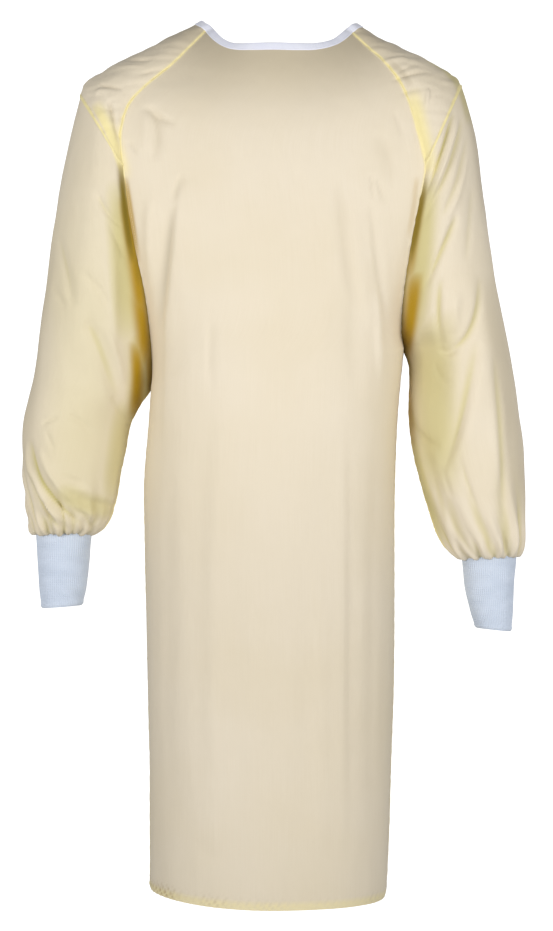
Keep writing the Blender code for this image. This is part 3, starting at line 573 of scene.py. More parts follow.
def travelled_along(points, axis=0):
    """Return how far along a line of points, or along the rows or columns of a grid, each point lies."""
    steps = np.linalg.norm(np.diff(points, axis=axis), axis=-1)
    return np.insert(np.cumsum(steps, axis=axis), 0, 0.0, axis=axis)


def read_line(wanted, travelled, values):
    """Return a line's points or directions at the wanted distances along it."""
    return np.stack([np.interp(wanted, travelled, values[:, axis]) for axis in range(3)], axis=-1)


def smooth_between(before, start, end, after, share):
    """Read a smooth curve between start and end that also heeds the rows before and after them."""
    slope_start = (end - before) / 2.0
    slope_end = (after - start) / 2.0
    square = share * share
    cube = square * share
    return (start * (2 * cube - 3 * square + 1) + slope_start * (cube - 2 * square + share)
            + end * (3 * square - 2 * cube) + slope_end * (cube - square))


def fine_places(length, pitch, close_start, close_end):
    """Return distances along a line from 0 to length, closer together at its sewn ends."""
    places = np.linspace(0.0, length, max(int(round(length / pitch)), 1) + 1)
    near = np.array([offset for offset in EDGE_OFFSETS if offset < length / EDGE_ROOM_ALONG])
    if close_start:
        places = np.concatenate((near, places[places > near[-1] + pitch / LEAST_GAP]))
    if close_end:
        last = length - near[-1] - pitch / LEAST_GAP
        places = np.concatenate((places[places < last], length - near[::-1]))
    return places


def table_shares(table, columns, pitch, sewn, lines=(("seam_x", "seam_z"), ("outer_x", "outer_z"))):
    """Return for each row but the first its fine rows' shares. sewn holds the rows at a seam."""
    rows = [dict(zip(columns, row)) for row in table]
    shares = []
    for index in range(1, len(rows)):
        length = max(math.hypot(rows[index][x] - rows[index - 1][x], rows[index][z] - rows[index - 1][z])
                     for x, z in lines)
        places = fine_places(length, pitch, index - 1 in sewn, index in sewn)
        shares.append(places[1:] / length)
    return shares


def refine(table, columns, shares):
    """Return one dictionary for each fine row that a smooth curve through the table's rows reads."""
    rows = np.array(table, dtype=float)
    result = [rows[0]]
    for index in range(1, len(rows)):
        before = rows[max(index - 2, 0)]
        after = rows[min(index + 1, len(rows) - 1)]
        for share in shares[index - 1]:
            result.append(smooth_between(before, rows[index - 1], rows[index], after, share))
    return [dict(zip(columns, row)) for row in result]


def spaced(points, count, sewn=True):
    """Return count points along a line of points, closer together at its ends where those are sewn."""
    travelled = travelled_along(points)
    total = travelled[-1]
    if not sewn:
        return read_line(np.linspace(0.0, total, count), travelled, points)
    squeeze = min(1.0, total / EDGE_ROOM / EDGE_OFFSETS[-1])
    edge = np.array(EDGE_OFFSETS) * squeeze
    middle = np.linspace(edge[-1], total - edge[-1], count - 2 * (len(edge) - 1))
    return read_line(np.concatenate((edge[:-1], middle, total - edge[-2::-1])), travelled, points)


def sleeve_side(row, depth, sign):
    """Return fine points from the seam to the outer point, on the front or on the back."""
    hold = min(max(row["hold"], 0.0), 1.0)
    power = 1.0 + max(row["pinch"], 0.0)
    start = -math.acos(hold ** (1.0 / power))
    angle = np.linspace(start, math.pi / 2, FINE_SAMPLES)
    crest = row["crest_at"]
    bulge = np.cos(angle) ** np.where(angle < 0.0, power, 1.0)
    inner = crest + crest * np.sin(angle) / max(math.sin(-start), LEAST_SINE)
    outer = crest + (1.0 - crest) * np.sin(angle)
    along = np.where(angle < 0.0, inner, outer)
    x = row["seam_x"] + (row["outer_x"] - row["seam_x"]) * along
    y = row["axis_y"] + sign * depth * bulge
    z = row["seam_z"] + (row["outer_z"] - row["seam_z"]) * along
    return np.stack([x, y, z], axis=1)


def sleeve_line(row):
    """Return one sleeve row's fine points from the front seam, over the outside, to the back seam."""
    back = sleeve_side(row, row["back"], 1.0)
    return np.concatenate((sleeve_side(row, row["front"], -1.0), back[-2::-1]))


def half_row(seam, centre_z, depth, sign, sweep):
    """Return fine points of a body row from its seam to the centre, on the front or on the back."""
    start = math.acos(min(abs(seam[1]) / depth, 1.0) ** (1.0 / CHEST_FLATNESS))
    angle = np.linspace(start, 0.0, FINE_SAMPLES)
    share = np.sin(angle) / math.sin(start)
    x = CENTRE_X + (seam[0] - CENTRE_X) * share
    y = sign * depth * np.cos(angle) ** CHEST_FLATNESS
    z = centre_z + (seam[2] - centre_z) * share ** sweep
    return np.stack([x, y, z], axis=1)


def body_row(ends, *form):
    """Return fine points of a whole body row, from the left seam to the right seam."""
    left, right = (half_row(seam, *form) for seam in ends)
    return np.concatenate((left, right[-2::-1]))


def back_halves(line):
    """Cut a back row into the upper layer, on the left, and the under layer, on the right."""
    upper = line[line[:, 0] <= CENTRE_X + LAP_HALF]
    under = line[line[:, 0] >= CENTRE_X - LAP_HALF].copy()
    share = np.clip((CENTRE_X + LAP_HALF + LAP_EASE - under[:, 0]) / LAP_EASE, 0.0, 1.0)
    under[:, 1] -= eased(LAP_STEP, share)
    return spaced(upper, BACK_COLUMNS), spaced(under, BACK_COLUMNS)


def seam_points(both, side, sign):
    """Return the points of both raglan seams on the front or on the back, one sleeve row each."""
    return [np.array([row["seam_x"], row["axis_y"] + sign * row[side] * min(max(row["hold"], 0.0), 1.0),
                      row["seam_z"]]) for row in both]


class Panel:
    """One cut piece as rows of points; its last column is its first again from the row closed_from."""

    def __init__(self, name, rows, flip, closed_from=None):
        self.name = name
        self.kind = name.split("_")[0]
        self.points = np.array(rows, dtype=float)
        self.rows, self.columns = self.points.shape[:2]
        self.grid = np.arange(self.rows * self.columns).reshape(self.rows, self.columns)
        self.ids = self.grid.copy()
        if closed_from is not None:
            self.ids[closed_from:, -1] = self.ids[closed_from:, 0]
        corners = (self.grid[:-1, :-1], self.grid[:-1, 1:], self.grid[1:, 1:], self.grid[1:, :-1])
        quads = np.stack(corners, axis=-1).reshape(-1, 4)
        self.quads = quads[:, ::-1] if flip else quads
        self.across = across = travelled_along(self.points, 1)
        self.along = along = travelled_along(self.points, 0)
        # Each point's distances to the left, right, top and bottom edges, and to the nearer side.
        self.left, self.right = across.reshape(-1), (across[:, -1:] - across).reshape(-1)
        self.top, self.bottom = along.reshape(-1), (along[-1:] - along).reshape(-1)
        self.side = np.minimum(self.left, self.right)
        self.marks = {key: np.zeros(self.grid.size) for key in MARKS}
        self.normals = None

    def flat(self):
        """Return the points as one list."""
        return self.points.reshape(-1, 3)

    def mark(self, key, share):
        """Colour the points at least as strongly as share says."""
        self.marks[key] = np.maximum(self.marks[key], share)


def shared_spots(panels):
    """Return each point's number, the same for points that pieces share at a seam."""
    points = np.concatenate([panel.flat() for panel in panels])
    _, spot = np.unique(np.round(points, WELD_DIGITS), axis=0, return_inverse=True)
    return spot.reshape(-1)


def weld_normals(panels):
    """Give every panel its normals, shared where pieces meet at a seam."""
    spot = shared_spots(panels)
    totals = np.zeros((spot.max() + 1, 3))
    ends = np.cumsum([panel.grid.size for panel in panels])
    spots = np.split(spot, ends[:-1])
    for panel, places in zip(panels, spots):
        corners = panel.flat()[panel.quads]
        normals = np.cross(corners[:, 2] - corners[:, 0], corners[:, 3] - corners[:, 1])
        for corner in range(4):
            np.add.at(totals, places[panel.quads[:, corner]], normals)
    totals = unit(totals)
    for panel, places in zip(panels, spots):
        panel.normals = totals[places]


def share_moves(panels, moves):
    """Give points that pieces share at a seam the mean of their moves, so that no seam opens."""
    spot = shared_spots(panels)
    mean = (np.bincount(spot, weights=np.concatenate(moves)) / np.bincount(spot))[spot]
    return np.split(mean, np.cumsum([len(move) for move in moves])[:-1])


def move_out(panels, moves):
    """Move each panel's points along their normals, then find the new normals."""
    for panel, move in zip(panels, moves):
        panel.points = (panel.flat() + panel.normals * move[:, None]).reshape(panel.points.shape)
    weld_normals(panels)


def nearest_on(line, place):
    """Return each place's distance to a line, the share of the line where it is nearest, and its side."""
    step = np.diff(line, axis=0)
    offset = place[:, None, :] - line[None, :-1, :]
    part = np.clip(np.sum(offset * step, axis=2) / np.sum(step * step, axis=1), 0.0, 1.0)
    away = offset - step * part[:, :, None]
    distance = np.linalg.norm(away, axis=2)
    best = np.argmin(distance, axis=1)
    row = np.arange(len(place))
    side = step[best, 0] * away[row, best, 1] - step[best, 1] * away[row, best, 0]
    return distance[row, best], (best + part[row, best]) / len(step), side


def near_curve(values, points, facing):
    """Return which facing points lie near a curve, their distance from it, and its width there.

    Then come their place along it, from 0 in its middle to 1 at its ends, and its amount.
    """
    curve = dict(zip(CURVE_COLUMNS, values))
    start, via, end = (np.array([curve[key + "_x"], curve[key + "_z"]], dtype=float)
                       for key in ("from", "via", "to"))
    middle = 2.0 * via - (start + end) / 2.0
    share = np.linspace(0.0, 1.0, CURVE_SAMPLES)[:, None]
    line = start * (1 - share) ** 2 + 2 * middle * share * (1 - share) + end * share ** 2
    reach = CURVE_REACH * max(curve["left"], curve["right"])
    place = points[:, [0, 2]]
    inside = (place > line.min(axis=0) - reach) & (place < line.max(axis=0) + reach)
    near = np.nonzero(np.all(inside, axis=1) & facing)[0]
    distance, travelled, side = nearest_on(line, place[near])
    width = np.where(side > 0.0, curve["right"], curve["left"])
    return near, distance, width, np.abs(2.0 * travelled - 1.0), curve["amount"]


def paint(panel):
    """Return how strongly the strokes of each kind, most of them painted shade, colour each point on the
    front.
    """
    points = panel.flat()
    result = {kind: np.zeros(len(points)) for kind in STROKES}
    for kind, rows in STROKES.items():
        for values in rows:
            near, distance, width, off_middle, amount = near_curve(values, points, points[:, 1] < 0.0)
            colour = amount * (1.0 - off_middle ** 4) * bell(distance, width, 3)
            result[kind][near] = np.maximum(result[kind][near], colour)
    return result


def add_creases(panel):
    """Return how far the listed creases move each point, and paint shade into their troughs."""
    points = panel.flat()
    total = np.zeros(len(points))
    # Painted shade in the troughs: yellow on the sleeves, neutral elsewhere.
    tint = panel.marks["shade" if panel.kind == "sleeve" else "neutral_shade"]
    for side, rows in CREASES.items():
        depth = points[:, 1] if side == "back" else -points[:, 1]
        for values in rows:
            near, distance, width, off_middle, rise = near_curve(values, points, depth > FACING_START)
            width = CREASE_NARROWING * width
            facing = np.clip((depth[near] - FACING_START) / FACING_EASE, 0.0, 1.0)
            strength = CREASE_STRENGTH * rise * (1.0 - off_middle ** 3) * facing
            total[near] += strength * bell(distance, width)
            deep = (np.maximum(-strength, 0.0) / SHADE_DEPTH) ** SHADE_POWER
            deep = bell(distance, SHADE_NARROWING * width) * deep
            tint[near] = np.maximum(tint[near], CREASE_SHADE_STRENGTH * deep)
    return total


def ripple(points, height, wide, tall, seed):
    """Return a soft uneven wave whose lumps are wide by tall millimetres."""
    lumps = [noise.noise(Vector((x / wide + seed, y / wide, z / tall))) for x, y, z in points]
    return height * np.array(lumps)


def cloth_ripples(panel):
    """Return the small waves that hang down the body, lie round the arms and drag over the shoulders."""
    points = panel.flat()
    move = sum(ripple(points, *form) for form in HANGING_RIPPLES)
    if panel.kind == "sleeve":
        move = move + ripple(points, *ARM_RIPPLE)
    if panel.kind == "shoulder":
        move = SHOULDER_HANG * move + ripple(points, *SHOULDER_RIPPLE)
    upper = np.clip((points[:, 2] - UPPER_FROM) / UPPER_EASE, 0.0, 1.0)
    return move + upper * ripple(points, *UPPER_RIPPLE)


def band(distance, width, rise):
    """Return a flat raised band along an edge, with a soft step at its inner side."""
    return eased(rise, np.clip((width - distance) / BAND_STEP + 0.5, 0.0, 1.0))


def seam_ridge(distance, along):
    """Return the raised welt of a seam, drawn in unevenly by its stitches."""
    short, long = (np.sin(along / length * math.pi) for length in SEAM_PUCKER_LENGTHS)
    return SEAM_RISE * (1.0 + SEAM_PUCKER * short * long) * bell(distance, SEAM_WIDTH, 4)


def twisted_part(panel):
    """Return how far each point lies in the stretch of the hem that twists most, from 0 to 1."""
    return np.clip((TWIST_START - panel.flat()[:, 0]) / TWIST_EASE, 0.0, 1.0)


def hem_rope(panel):
    """Return the uneven slanting ripples, from -1 to 1, that its stitches draw into the hem."""
    turn = 2.0 * math.pi * (panel.left + ROPE_SLANT * panel.bottom) / ROPE_PITCH
    short, long = (np.sin(panel.left / length + start) for length, start in ROPE_UNEVEN)
    uneven = (ROPE_MEAN + ROPE_SWING * short * long) * (TWIST_LEAST + TWIST_MORE * twisted_part(panel))
    drift, length = ROPE_DRIFT
    turn = turn + drift * np.sin(panel.left / length)
    return np.sin(turn) * uneven * bell(panel.bottom - ROPE_MIDDLE * HEM_WIDTH, ROPE_HALF)


def open_edge(panel):
    """Return the distances to a back panel's open edge and to its seam, or none for other panels."""
    return {"back_left": (panel.right, panel.left), "back_right": (panel.left, panel.right)}.get(panel.name)


def sewn_edges(panel):
    """Return how the seams, the turned hems and the neck edge move a panel's points."""
    free = open_edge(panel)
    if free:
        move = seam_ridge(free[1], panel.top)
        uneven = 1.0 + BACK_HEM_UNEVEN * np.sin(panel.top / BACK_HEM_WAVE)
        move += band(free[0], BACK_HEM_WIDTH, HEM_RISE) * uneven
    else:
        move = seam_ridge(panel.side, panel.top)
    if panel.kind in ("front", "back"):
        move += band(panel.bottom, HEM_WIDTH, HEM_RISE) + HEM_PUCKER * hem_rope(panel)
    if panel.kind == "shoulder":
        move += seam_ridge(panel.bottom, panel.left)
    if panel.kind == "sleeve":
        move += seam_ridge(panel.top, panel.left)
    return move


def gather_rise(panel, rows, table):
    """Return the gathers round a sleeve's end: the large waves of its solid and finer ridges on them."""
    up = panel.bottom
    round_length = np.repeat(panel.across[:, -1], panel.columns)
    turn = panel.left / round_length
    height = np.repeat([max(row["gather"], 0.0) for row in rows], panel.columns)
    angle = 2.0 * math.pi * turn
    uneven = 1.0 + wave(angle, *GATHER_UNEVEN)
    large = np.cos(GATHERS * angle + wave(angle, *GATHER_DRIFT))
    move = GATHER_SHARE * height * GATHER_HEIGHT * uneven * large
    for values in table:
        ridge = dict(zip(GATHER_COLUMNS, values))
        reach = GATHER_REACH * ridge["reach"]
        centre = ridge["turn"] + ridge["slant"] * up / ridge["reach"] / round_length
        offset = ((turn - centre + 0.5) % 1.0 - 0.5) * round_length
        spread = ridge["width"] * (1.0 + GATHER_SPREAD * up / reach)
        fade = bell(up, reach) * GATHER_STRENGTH * ridge["rise"]
        for place, share in GATHER_PROFILE:
            move += fade * share * np.exp(-(offset / spread - place) ** 2)
    # Painted shade in the gathers' troughs.
    panel.mark("shade", np.clip(-GATHER_SHADE * move / SHADE_DEPTH, 0.0, GATHER_SHADE_MOST))
    return move * np.clip(up / GATHER_TUCK, GATHER_LEAST, 1.0)


def mark_panel(panel):
    """Tint each point for doubled cloth at seams and hems, and paint the strokes and shade under the arms, in
    the hem, at the sides and at the neck.
    """
    x, z = panel.flat()[:, 0], panel.flat()[:, 2]
    painted = paint(panel)
    sleeve = panel.kind == "sleeve"
    seam = np.maximum(bell(panel.side, SEAM_TINT_WIDTH, 4), painted["double"])
    free = open_edge(panel)
    if free:
        seam = np.maximum(seam, band(free[0], BACK_HEM_WIDTH, BACK_HEM_TINT))
    if panel.kind == "shoulder":
        low = np.clip(1.0 - panel.bottom / V_TINT_HEIGHT, 0.0, 1.0)
        seam = np.maximum(seam, V_TINT * low * bell(panel.side, V_TINT_WIDTH + V_TINT_WIDENING * low, 4))
        seam = np.maximum(seam, bell(panel.bottom, TIP_TINT_WIDTH, 4))
    if sleeve:
        seam = np.maximum(seam, bell(panel.top, SEAM_TINT_WIDTH, 4))
    rope = hem_rope(panel)
    trough = np.maximum(-rope, 0.0)
    # The hem's doubled yellow swings with its puckers, painted light on their crests, and painted shade
    # darkens their troughs.
    if panel.kind in ("front", "back"):
        seam = np.maximum(seam, band(panel.bottom, HEM_WIDTH, HEM_TINT) * (1.0 + HEM_PUCKER_LIGHT_SWING * rope))
        panel.mark("neutral_shade", HEM_TROUGH_SHADE * trough)
    # Between these heights a sleeve meets the body, and painted shadow takes the place of the seams' yellow
    # there.
    below = np.clip((SLIT_TOP - z) / SLIT_TOP_EASE, 0.0, 1.0)
    span = below * np.clip((z - SLIT_END) / SLIT_END_EASE, 0.0, 1.0)
    panel.mark("double", np.clip(seam, 0.0, 1.0) * (1.0 - span))
    if sleeve:
        # Painted shadow along the dark line where the sleeve meets the body, and painted orange shade in the
        # armpit.
        inward = np.abs(x - np.repeat(panel.points[:, 0, 0], panel.columns))
        panel.mark("slit_shadow", np.maximum(SLIT_SHADOW_STRENGTH * span * bell(inward, SLIT_SHADOW_WIDTH), painted["slit_shadow"]))
        panel.mark("recess_shade", painted["armpit_shade"])
    if panel.kind == "front":
        # Painted orange shade on the front's edge by the armpit and in the twisted hem's troughs, and painted
        # shade at the skirt's sides.
        panel.mark("recess_shade", np.maximum(painted["front_edge_shade"], HEM_TROUGH_AMBER_SHADE * twisted_part(panel) * trough))
        skirt = np.clip((SIDE_SHADE_TOP - z) / SIDE_SHADE_EASE, 0.0, 1.0)
        panel.mark("shade", SIDE_SHADE * skirt * bell(panel.side, SIDE_SHADE_WIDTH))
    else:
        # Painted yellower shade beside the armpits, and painted shade at the shoulders and down the arms.
        panel.mark("shade", painted["veil_shade"])
        panel.mark("neutral_shade", painted["neutral_shade"])
    if not sleeve:
        # Painted shade near the neck and low on the skirt.
        low = LOW_SHADE * bell(z - LOW_SHADE_Z, LOW_SHADE_REACH)
        panel.mark("neutral_shade", bell(panel.top, NECK_SHADE) + low)


def border_edges(faces):
    """Return the directed edges that only one quad uses."""
    edges = np.concatenate([faces[:, [k, (k + 1) % 4]] for k in range(4)])
    edges = edges[edges[:, 0] != edges[:, 1]]
    size = int(faces.max()) + 1
    forward = edges[:, 0] * size + edges[:, 1]
    backward = edges[:, 1] * size + edges[:, 0]
    return edges[~np.isin(forward, backward)]


def link(name, data):
    """Put a new object into the scene."""
    piece = bpy.data.objects.new(name, data)
    bpy.context.scene.collection.objects.link(piece)
    return piece


def make_mesh(name, points, faces, material, uv=None, marks=None, sharp=SHARP_ANGLE):
    """Make one smooth mesh object from points in millimetres."""
    mesh = bpy.data.meshes.new(name)
    mesh.from_pydata((np.asarray(points) * MM).tolist(), [], [list(face) for face in faces])
    mesh.materials.append(material)
    if uv is not None:
        flat_uv = np.asarray(uv, dtype=np.float32).reshape(-1)
        mesh.uv_layers.new(name="weave").data.foreach_set("uv", flat_uv)
    for key, values in (marks or {}).items():
        mesh.attributes.new(key, "FLOAT", "POINT").data.foreach_set("value", np.asarray(values, np.float32))
    mesh.update()
    mesh.shade_smooth()
    mesh.set_sharp_from_angle(angle=math.radians(sharp))
    return link(name, mesh)


def shell(name, panel, wall, material, marks):
    """Make a closed thin wall round a panel, with the cloth's own lengths as its flat coordinates."""
    coordinates = np.stack((panel.left, panel.top), axis=1) * MM
    quads = panel.quads
    used, faces = np.unique(panel.ids.reshape(-1)[quads], return_inverse=True)
    faces = faces.reshape(-1, 4)
    middle = panel.flat()[used]
    half = panel.normals[used] * wall / 2.0
    count = len(used)
    rim = border_edges(faces)
    rims = np.stack((rim[:, 1], rim[:, 0], rim[:, 0] + count, rim[:, 1] + count), axis=1)
    place = np.zeros((count, 2))
    place[faces.reshape(-1)] = coordinates[quads.reshape(-1)]
    parts = (coordinates[quads], coordinates[quads[:, ::-1]], place[rims % count])
    uv = np.concatenate([part.reshape(-1, 2) for part in parts])
    return make_mesh(name, np.concatenate((middle + half, middle - half)),
                     np.concatenate((faces, faces[:, ::-1] + count, rims)), material, uv,
                     {key: np.tile(values[used], 2) for key, values in marks.items()})


def tube_faces(rings, sides, start=0):
    """Return the quads along a tube of rings of points, and the faces that close its ends."""
    faces = []
    for first in range(start, start + (rings - 1) * sides, sides):
        for corner in range(sides):
            a, b = first + corner, first + (corner + 1) % sides
            faces.append((a, b, b + sides, a + sides))
    last = start + (rings - 1) * sides
    return faces + [tuple(range(start, start + sides))[::-1], tuple(range(last, last + sides))]


def edge_line(panel, edge, distance):
    """Return points and normals on a panel at a distance from one of its edges."""
    points, normals = panel.points, panel.normals.reshape(panel.points.shape)
    travelled = panel.across
    if edge == "bottom":
        points, normals, travelled = points.swapaxes(0, 1), normals.swapaxes(0, 1), panel.along.T
    wanted = [line[-1] - distance if edge in ("right", "bottom") else distance for line in travelled]
    return [np.array([read_line(*each) for each in zip(wanted, travelled, values)])
            for values in (points, normals)]


def stitches(name, lines, material):
    """Make one mesh of thread stitches along lines of points and normals."""
    points = []
    faces = []
    for line, normals in lines:
        travelled = travelled_along(line)
        places = np.arange(STITCH_PITCH, travelled[-1] - STITCH_PITCH, STITCH_PITCH)
        centre = read_line(places, travelled, line)
        tangent = unit(read_line(places + LOOK_AHEAD, travelled, line) - centre)
        side = unit(np.cross(tangent, read_line(places, travelled, normals)))
        for place, forward, sideways, up in zip(centre, tangent, side, np.cross(side, tangent)):
            faces += tube_faces(len(STITCH_RINGS), STITCH_SIDES, len(points))
            for along, radius in STITCH_RINGS:
                for corner in range(STITCH_SIDES):
                    turn = 2.0 * math.pi * corner / STITCH_SIDES
                    spoke = sideways * math.cos(turn) + up * (math.sin(turn) + STITCH_LIFT)
                    points.append(place + up * SHELL / 2.0 + forward * along * STITCH_LENGTH
                                  + spoke * STITCH_RADIUS * radius)
    return make_mesh(name, np.array(points), faces, material)


def cuff_piece(side, flip, material):
    """Make one knit cuff: a soft tube of fine ribs with a rolled end."""
    table = [row + CUFF_FORM for row in CUFFS[side]]
    rows = refine(table, TUBE_COLUMNS, table_shares(table, TUBE_COLUMNS, CUFF_PITCH, {len(table) - 1}))
    count = RIBS * RIB_POINTS
    cuff = Panel("cuff_" + side, [spaced(sleeve_line(row), count + 1, False) for row in rows], flip, 0)
    weld_normals([cuff])
    rib = np.cos(2.0 * math.pi * RIBS * np.tile(np.arange(count + 1) / count, cuff.rows))
    ribs = RIB_RISE * rib * np.clip(cuff.bottom / RIB_FADE, RIB_LEAST, 1.0)
    soft = ripple(cuff.flat(), *CUFF_RIPPLE) * np.clip(cuff.top / CUFF_RIPPLE_EASE, 0.0, 1.0)
    roll = CUFF_ROLL * bell(cuff.bottom - CUFF_ROLL_AT, CUFF_ROLL_AT)
    roll -= CUFF_TURN * bell(cuff.bottom, CUFF_TURN_WIDTH)
    move_out([cuff], [ribs + soft + roll - CUFF_SQUEEZE * bell(cuff.top, CUFF_SQUEEZE_WIDTH)])
    return shell(cuff.name + "_knit", cuff, CUFF_WALL, material, {"rib": 0.5 + 0.5 * rib})


def neck_line(panels):
    """Return the neck edge's points and the way the cloth rises to it, from one free edge to the other."""
    base = []
    rise = []
    for name, step in (("back_left", -1), ("shoulder_left", -1), ("front", 1), ("shoulder_right", 1),
                       ("back_right", -1)):
        edge, below = panels[name].points[[0, BINDING_BELOW], ::step]
        base.extend(edge[1:] if base else edge)
        rise.extend((edge - below)[1:] if rise else edge - below)
    base, rise = np.array(base), np.array(rise)
    keep = np.concatenate(([True], np.linalg.norm(np.diff(base, axis=0), axis=1) > SAME_PLACE))
    base, rise = base[keep], rise[keep]
    travelled = travelled_along(base)
    places = np.linspace(0.0, travelled[-1], int(travelled[-1] / BINDING_PITCH))
    return read_line(places, travelled, base), read_line(places, travelled, rise), places


def squared(values, power):
    """Return a section's sines or cosines drawn towards the corners of a square."""
    return np.sign(values) * np.abs(values) ** power


def binding_piece(panels, material):
    """Make the neck binding, a folded tape round the neck edge with slight puckers at its stitches."""
    base, rise, places = neck_line(panels)
    tangent = unit(np.gradient(base, axis=0))
    for _ in range(BINDING_SMOOTHING):
        rise[1:-1] = (rise[:-2] + 2.0 * rise[1:-1] + rise[2:]) / 4.0
        rise = unit(rise - tangent * np.sum(rise * tangent, axis=1)[:, None])
    out = np.cross(tangent, rise)
    angle = 2.0 * math.pi * np.arange(BINDING_SECTION) / BINDING_SECTION
    height, thick = (squared(part(angle), power) for part, power in zip((np.cos, np.sin), BINDING_SQUARE))
    middle = (BINDING_WIDTH + BINDING_LOW) / 2.0
    half = (BINDING_WIDTH - BINDING_LOW) / 2.0
    pucker = sum((size * np.sin(places / length + start) for size, length, start in BINDING_PUCKERS), 1.0)
    points = []
    for spot, up, away, swell in zip(base, rise, out, pucker):
        for tall, wide in zip(height, thick):
            lift = BINDING_THICK / 2.0 * wide * (swell if abs(tall) < BINDING_EDGE else 1.0)
            points.append(spot + up * (middle + half * tall) + away * lift)
    around = BINDING_WIDTH * 2.0 / BINDING_SECTION
    coordinates = [(places[index + step] * MM, side * around * MM)
                   for index in range(len(base) - 1) for corner in range(BINDING_SECTION)
                   for step, side in ((0, corner), (0, corner + 1), (1, corner + 1), (1, corner))]
    coordinates += [(0.0, 0.0)] * (2 * BINDING_SECTION)
    faces = tube_faces(len(base), BINDING_SECTION)
    piece = make_mesh("neck_binding_tape", points, faces, material, coordinates)
    line = base + rise * (BINDING_LOW + BINDING_STITCH) + out * (BINDING_THICK * 0.5 - SHELL / 2.0)
    return piece, (line, out)


def snap_piece(panel, material):
    """Make the snap's cap on the outside of the back overlap: a turned dome with a rim and a dimple."""
    points = panel.flat()
    nearest = int(np.argmin(np.linalg.norm(points[:, [0, 2]] - np.array(SNAP_PLACE), axis=1)))
    normal = panel.normals[nearest]
    seat = points[nearest] + normal * SHELL / 2.0
    side = np.cross(normal, [0.0, 0.0, 1.0])
    side /= np.linalg.norm(side)
    up = np.cross(normal, side)
    turns = [2.0 * math.pi * step / SNAP_SIDES for step in range(SNAP_SIDES)]
    rings = [seat + (side * math.cos(turn) + up * math.sin(turn)) * radius + normal * height
             for radius, height in SNAP_PROFILE for turn in turns]
    faces = [face[::-1] for face in tube_faces(len(SNAP_PROFILE), SNAP_SIDES)]
    return make_mesh("neck_snap_cap", rings, faces, material, sharp=SNAP_SHARP)


class Shader:
    """A surface material and the few kinds of node that these looks use."""

    def __init__(self, name, roughness, sheen, sheen_roughness, specular):
        self.material = bpy.data.materials.new(name)
        self.material.use_nodes = True
        self.tree = self.material.node_tree
        self.surface = self.tree.nodes["Principled BSDF"]
        self.feed(self.surface, {"Roughness": roughness, "Sheen Weight": sheen,
                                 "Sheen Roughness": sheen_roughness, "Specular IOR Level": specular})

    def feed(self, node, inputs):
        """Set a node's inputs to values, or join them to what other nodes give."""
        for key, value in inputs.items():
            if isinstance(value, bpy.types.NodeSocket):
                self.tree.links.new(value, node.inputs[key])
            else:
                node.inputs[key].default_value = value

    def add(self, kind, output, inputs, **settings):
        """Add one node and return what it gives."""
        node = self.tree.nodes.new("ShaderNode" + kind)
        for key, value in settings.items():
            setattr(node, key, value)
        self.feed(node, inputs)
        return node.outputs[output]

    def place(self, name):
        """Return the weave's flat coordinates, in metres, or the object's own."""
        if name == "weave":
            return self.add("UVMap", "UV", {}, uv_map="weave")
        return self.add("TexCoord", "Object", {})

    def mark(self, name):
        """Return a value that the mesh keeps at its points."""
        return self.add("Attribute", "Fac", {}, attribute_name=name)

    def stretch(self, vector, scale):
        """Return coordinates scaled along each axis."""
        return self.add("Mapping", "Vector", {"Scale": scale, "Vector": vector})

    def noise(self, vector, scale, detail):
        """Return a soft noise value."""
        return self.add("TexNoise", "Fac", {"Scale": scale, "Detail": detail, "Vector": vector})

    def waves(self, vector, scale, direction):
        """Return even bands across one direction."""
        inputs = {"Scale": scale, "Distortion": 0.0, "Vector": vector}
        return self.add("TexWave", "Fac", inputs, bands_direction=direction)

    def combine(self, operation, first, second):
        """Return the sum, product or other result of two values."""
        return self.add("Math", "Value", {0: first, 1: second}, operation=operation)

    def ramp(self, value, low, high, start=0.0, end=1.0):
        """Return a value turned into the range from start to end as it goes from low to high."""
        return self.add("MapRange", "Result", {"From Min": low, "From Max": high, "To Min": start,
                                               "To Max": end, "Value": value})

    def mix(self, share, first, second):
        """Return a mix of two colours."""
        return self.add("Mix", 2, {0: share, 6: first, 7: second}, data_type="RGBA")

    def bump(self, height, distance, before=None):
        """Return the normal that a height gives, on top of an earlier one."""
        inputs = {"Strength": 1.0, "Distance": distance, "Height": height}
        if before is not None:
            inputs["Normal"] = before
        return self.add("Bump", "Normal", inputs)

    def finish(self, colour, normal, roughness=None):
        """Join the results to the surface."""
        self.feed(self.surface, {"Base Color": colour, "Normal": normal})
        if roughness is not None:
            self.feed(self.surface, {"Roughness": roughness})
        return self.material


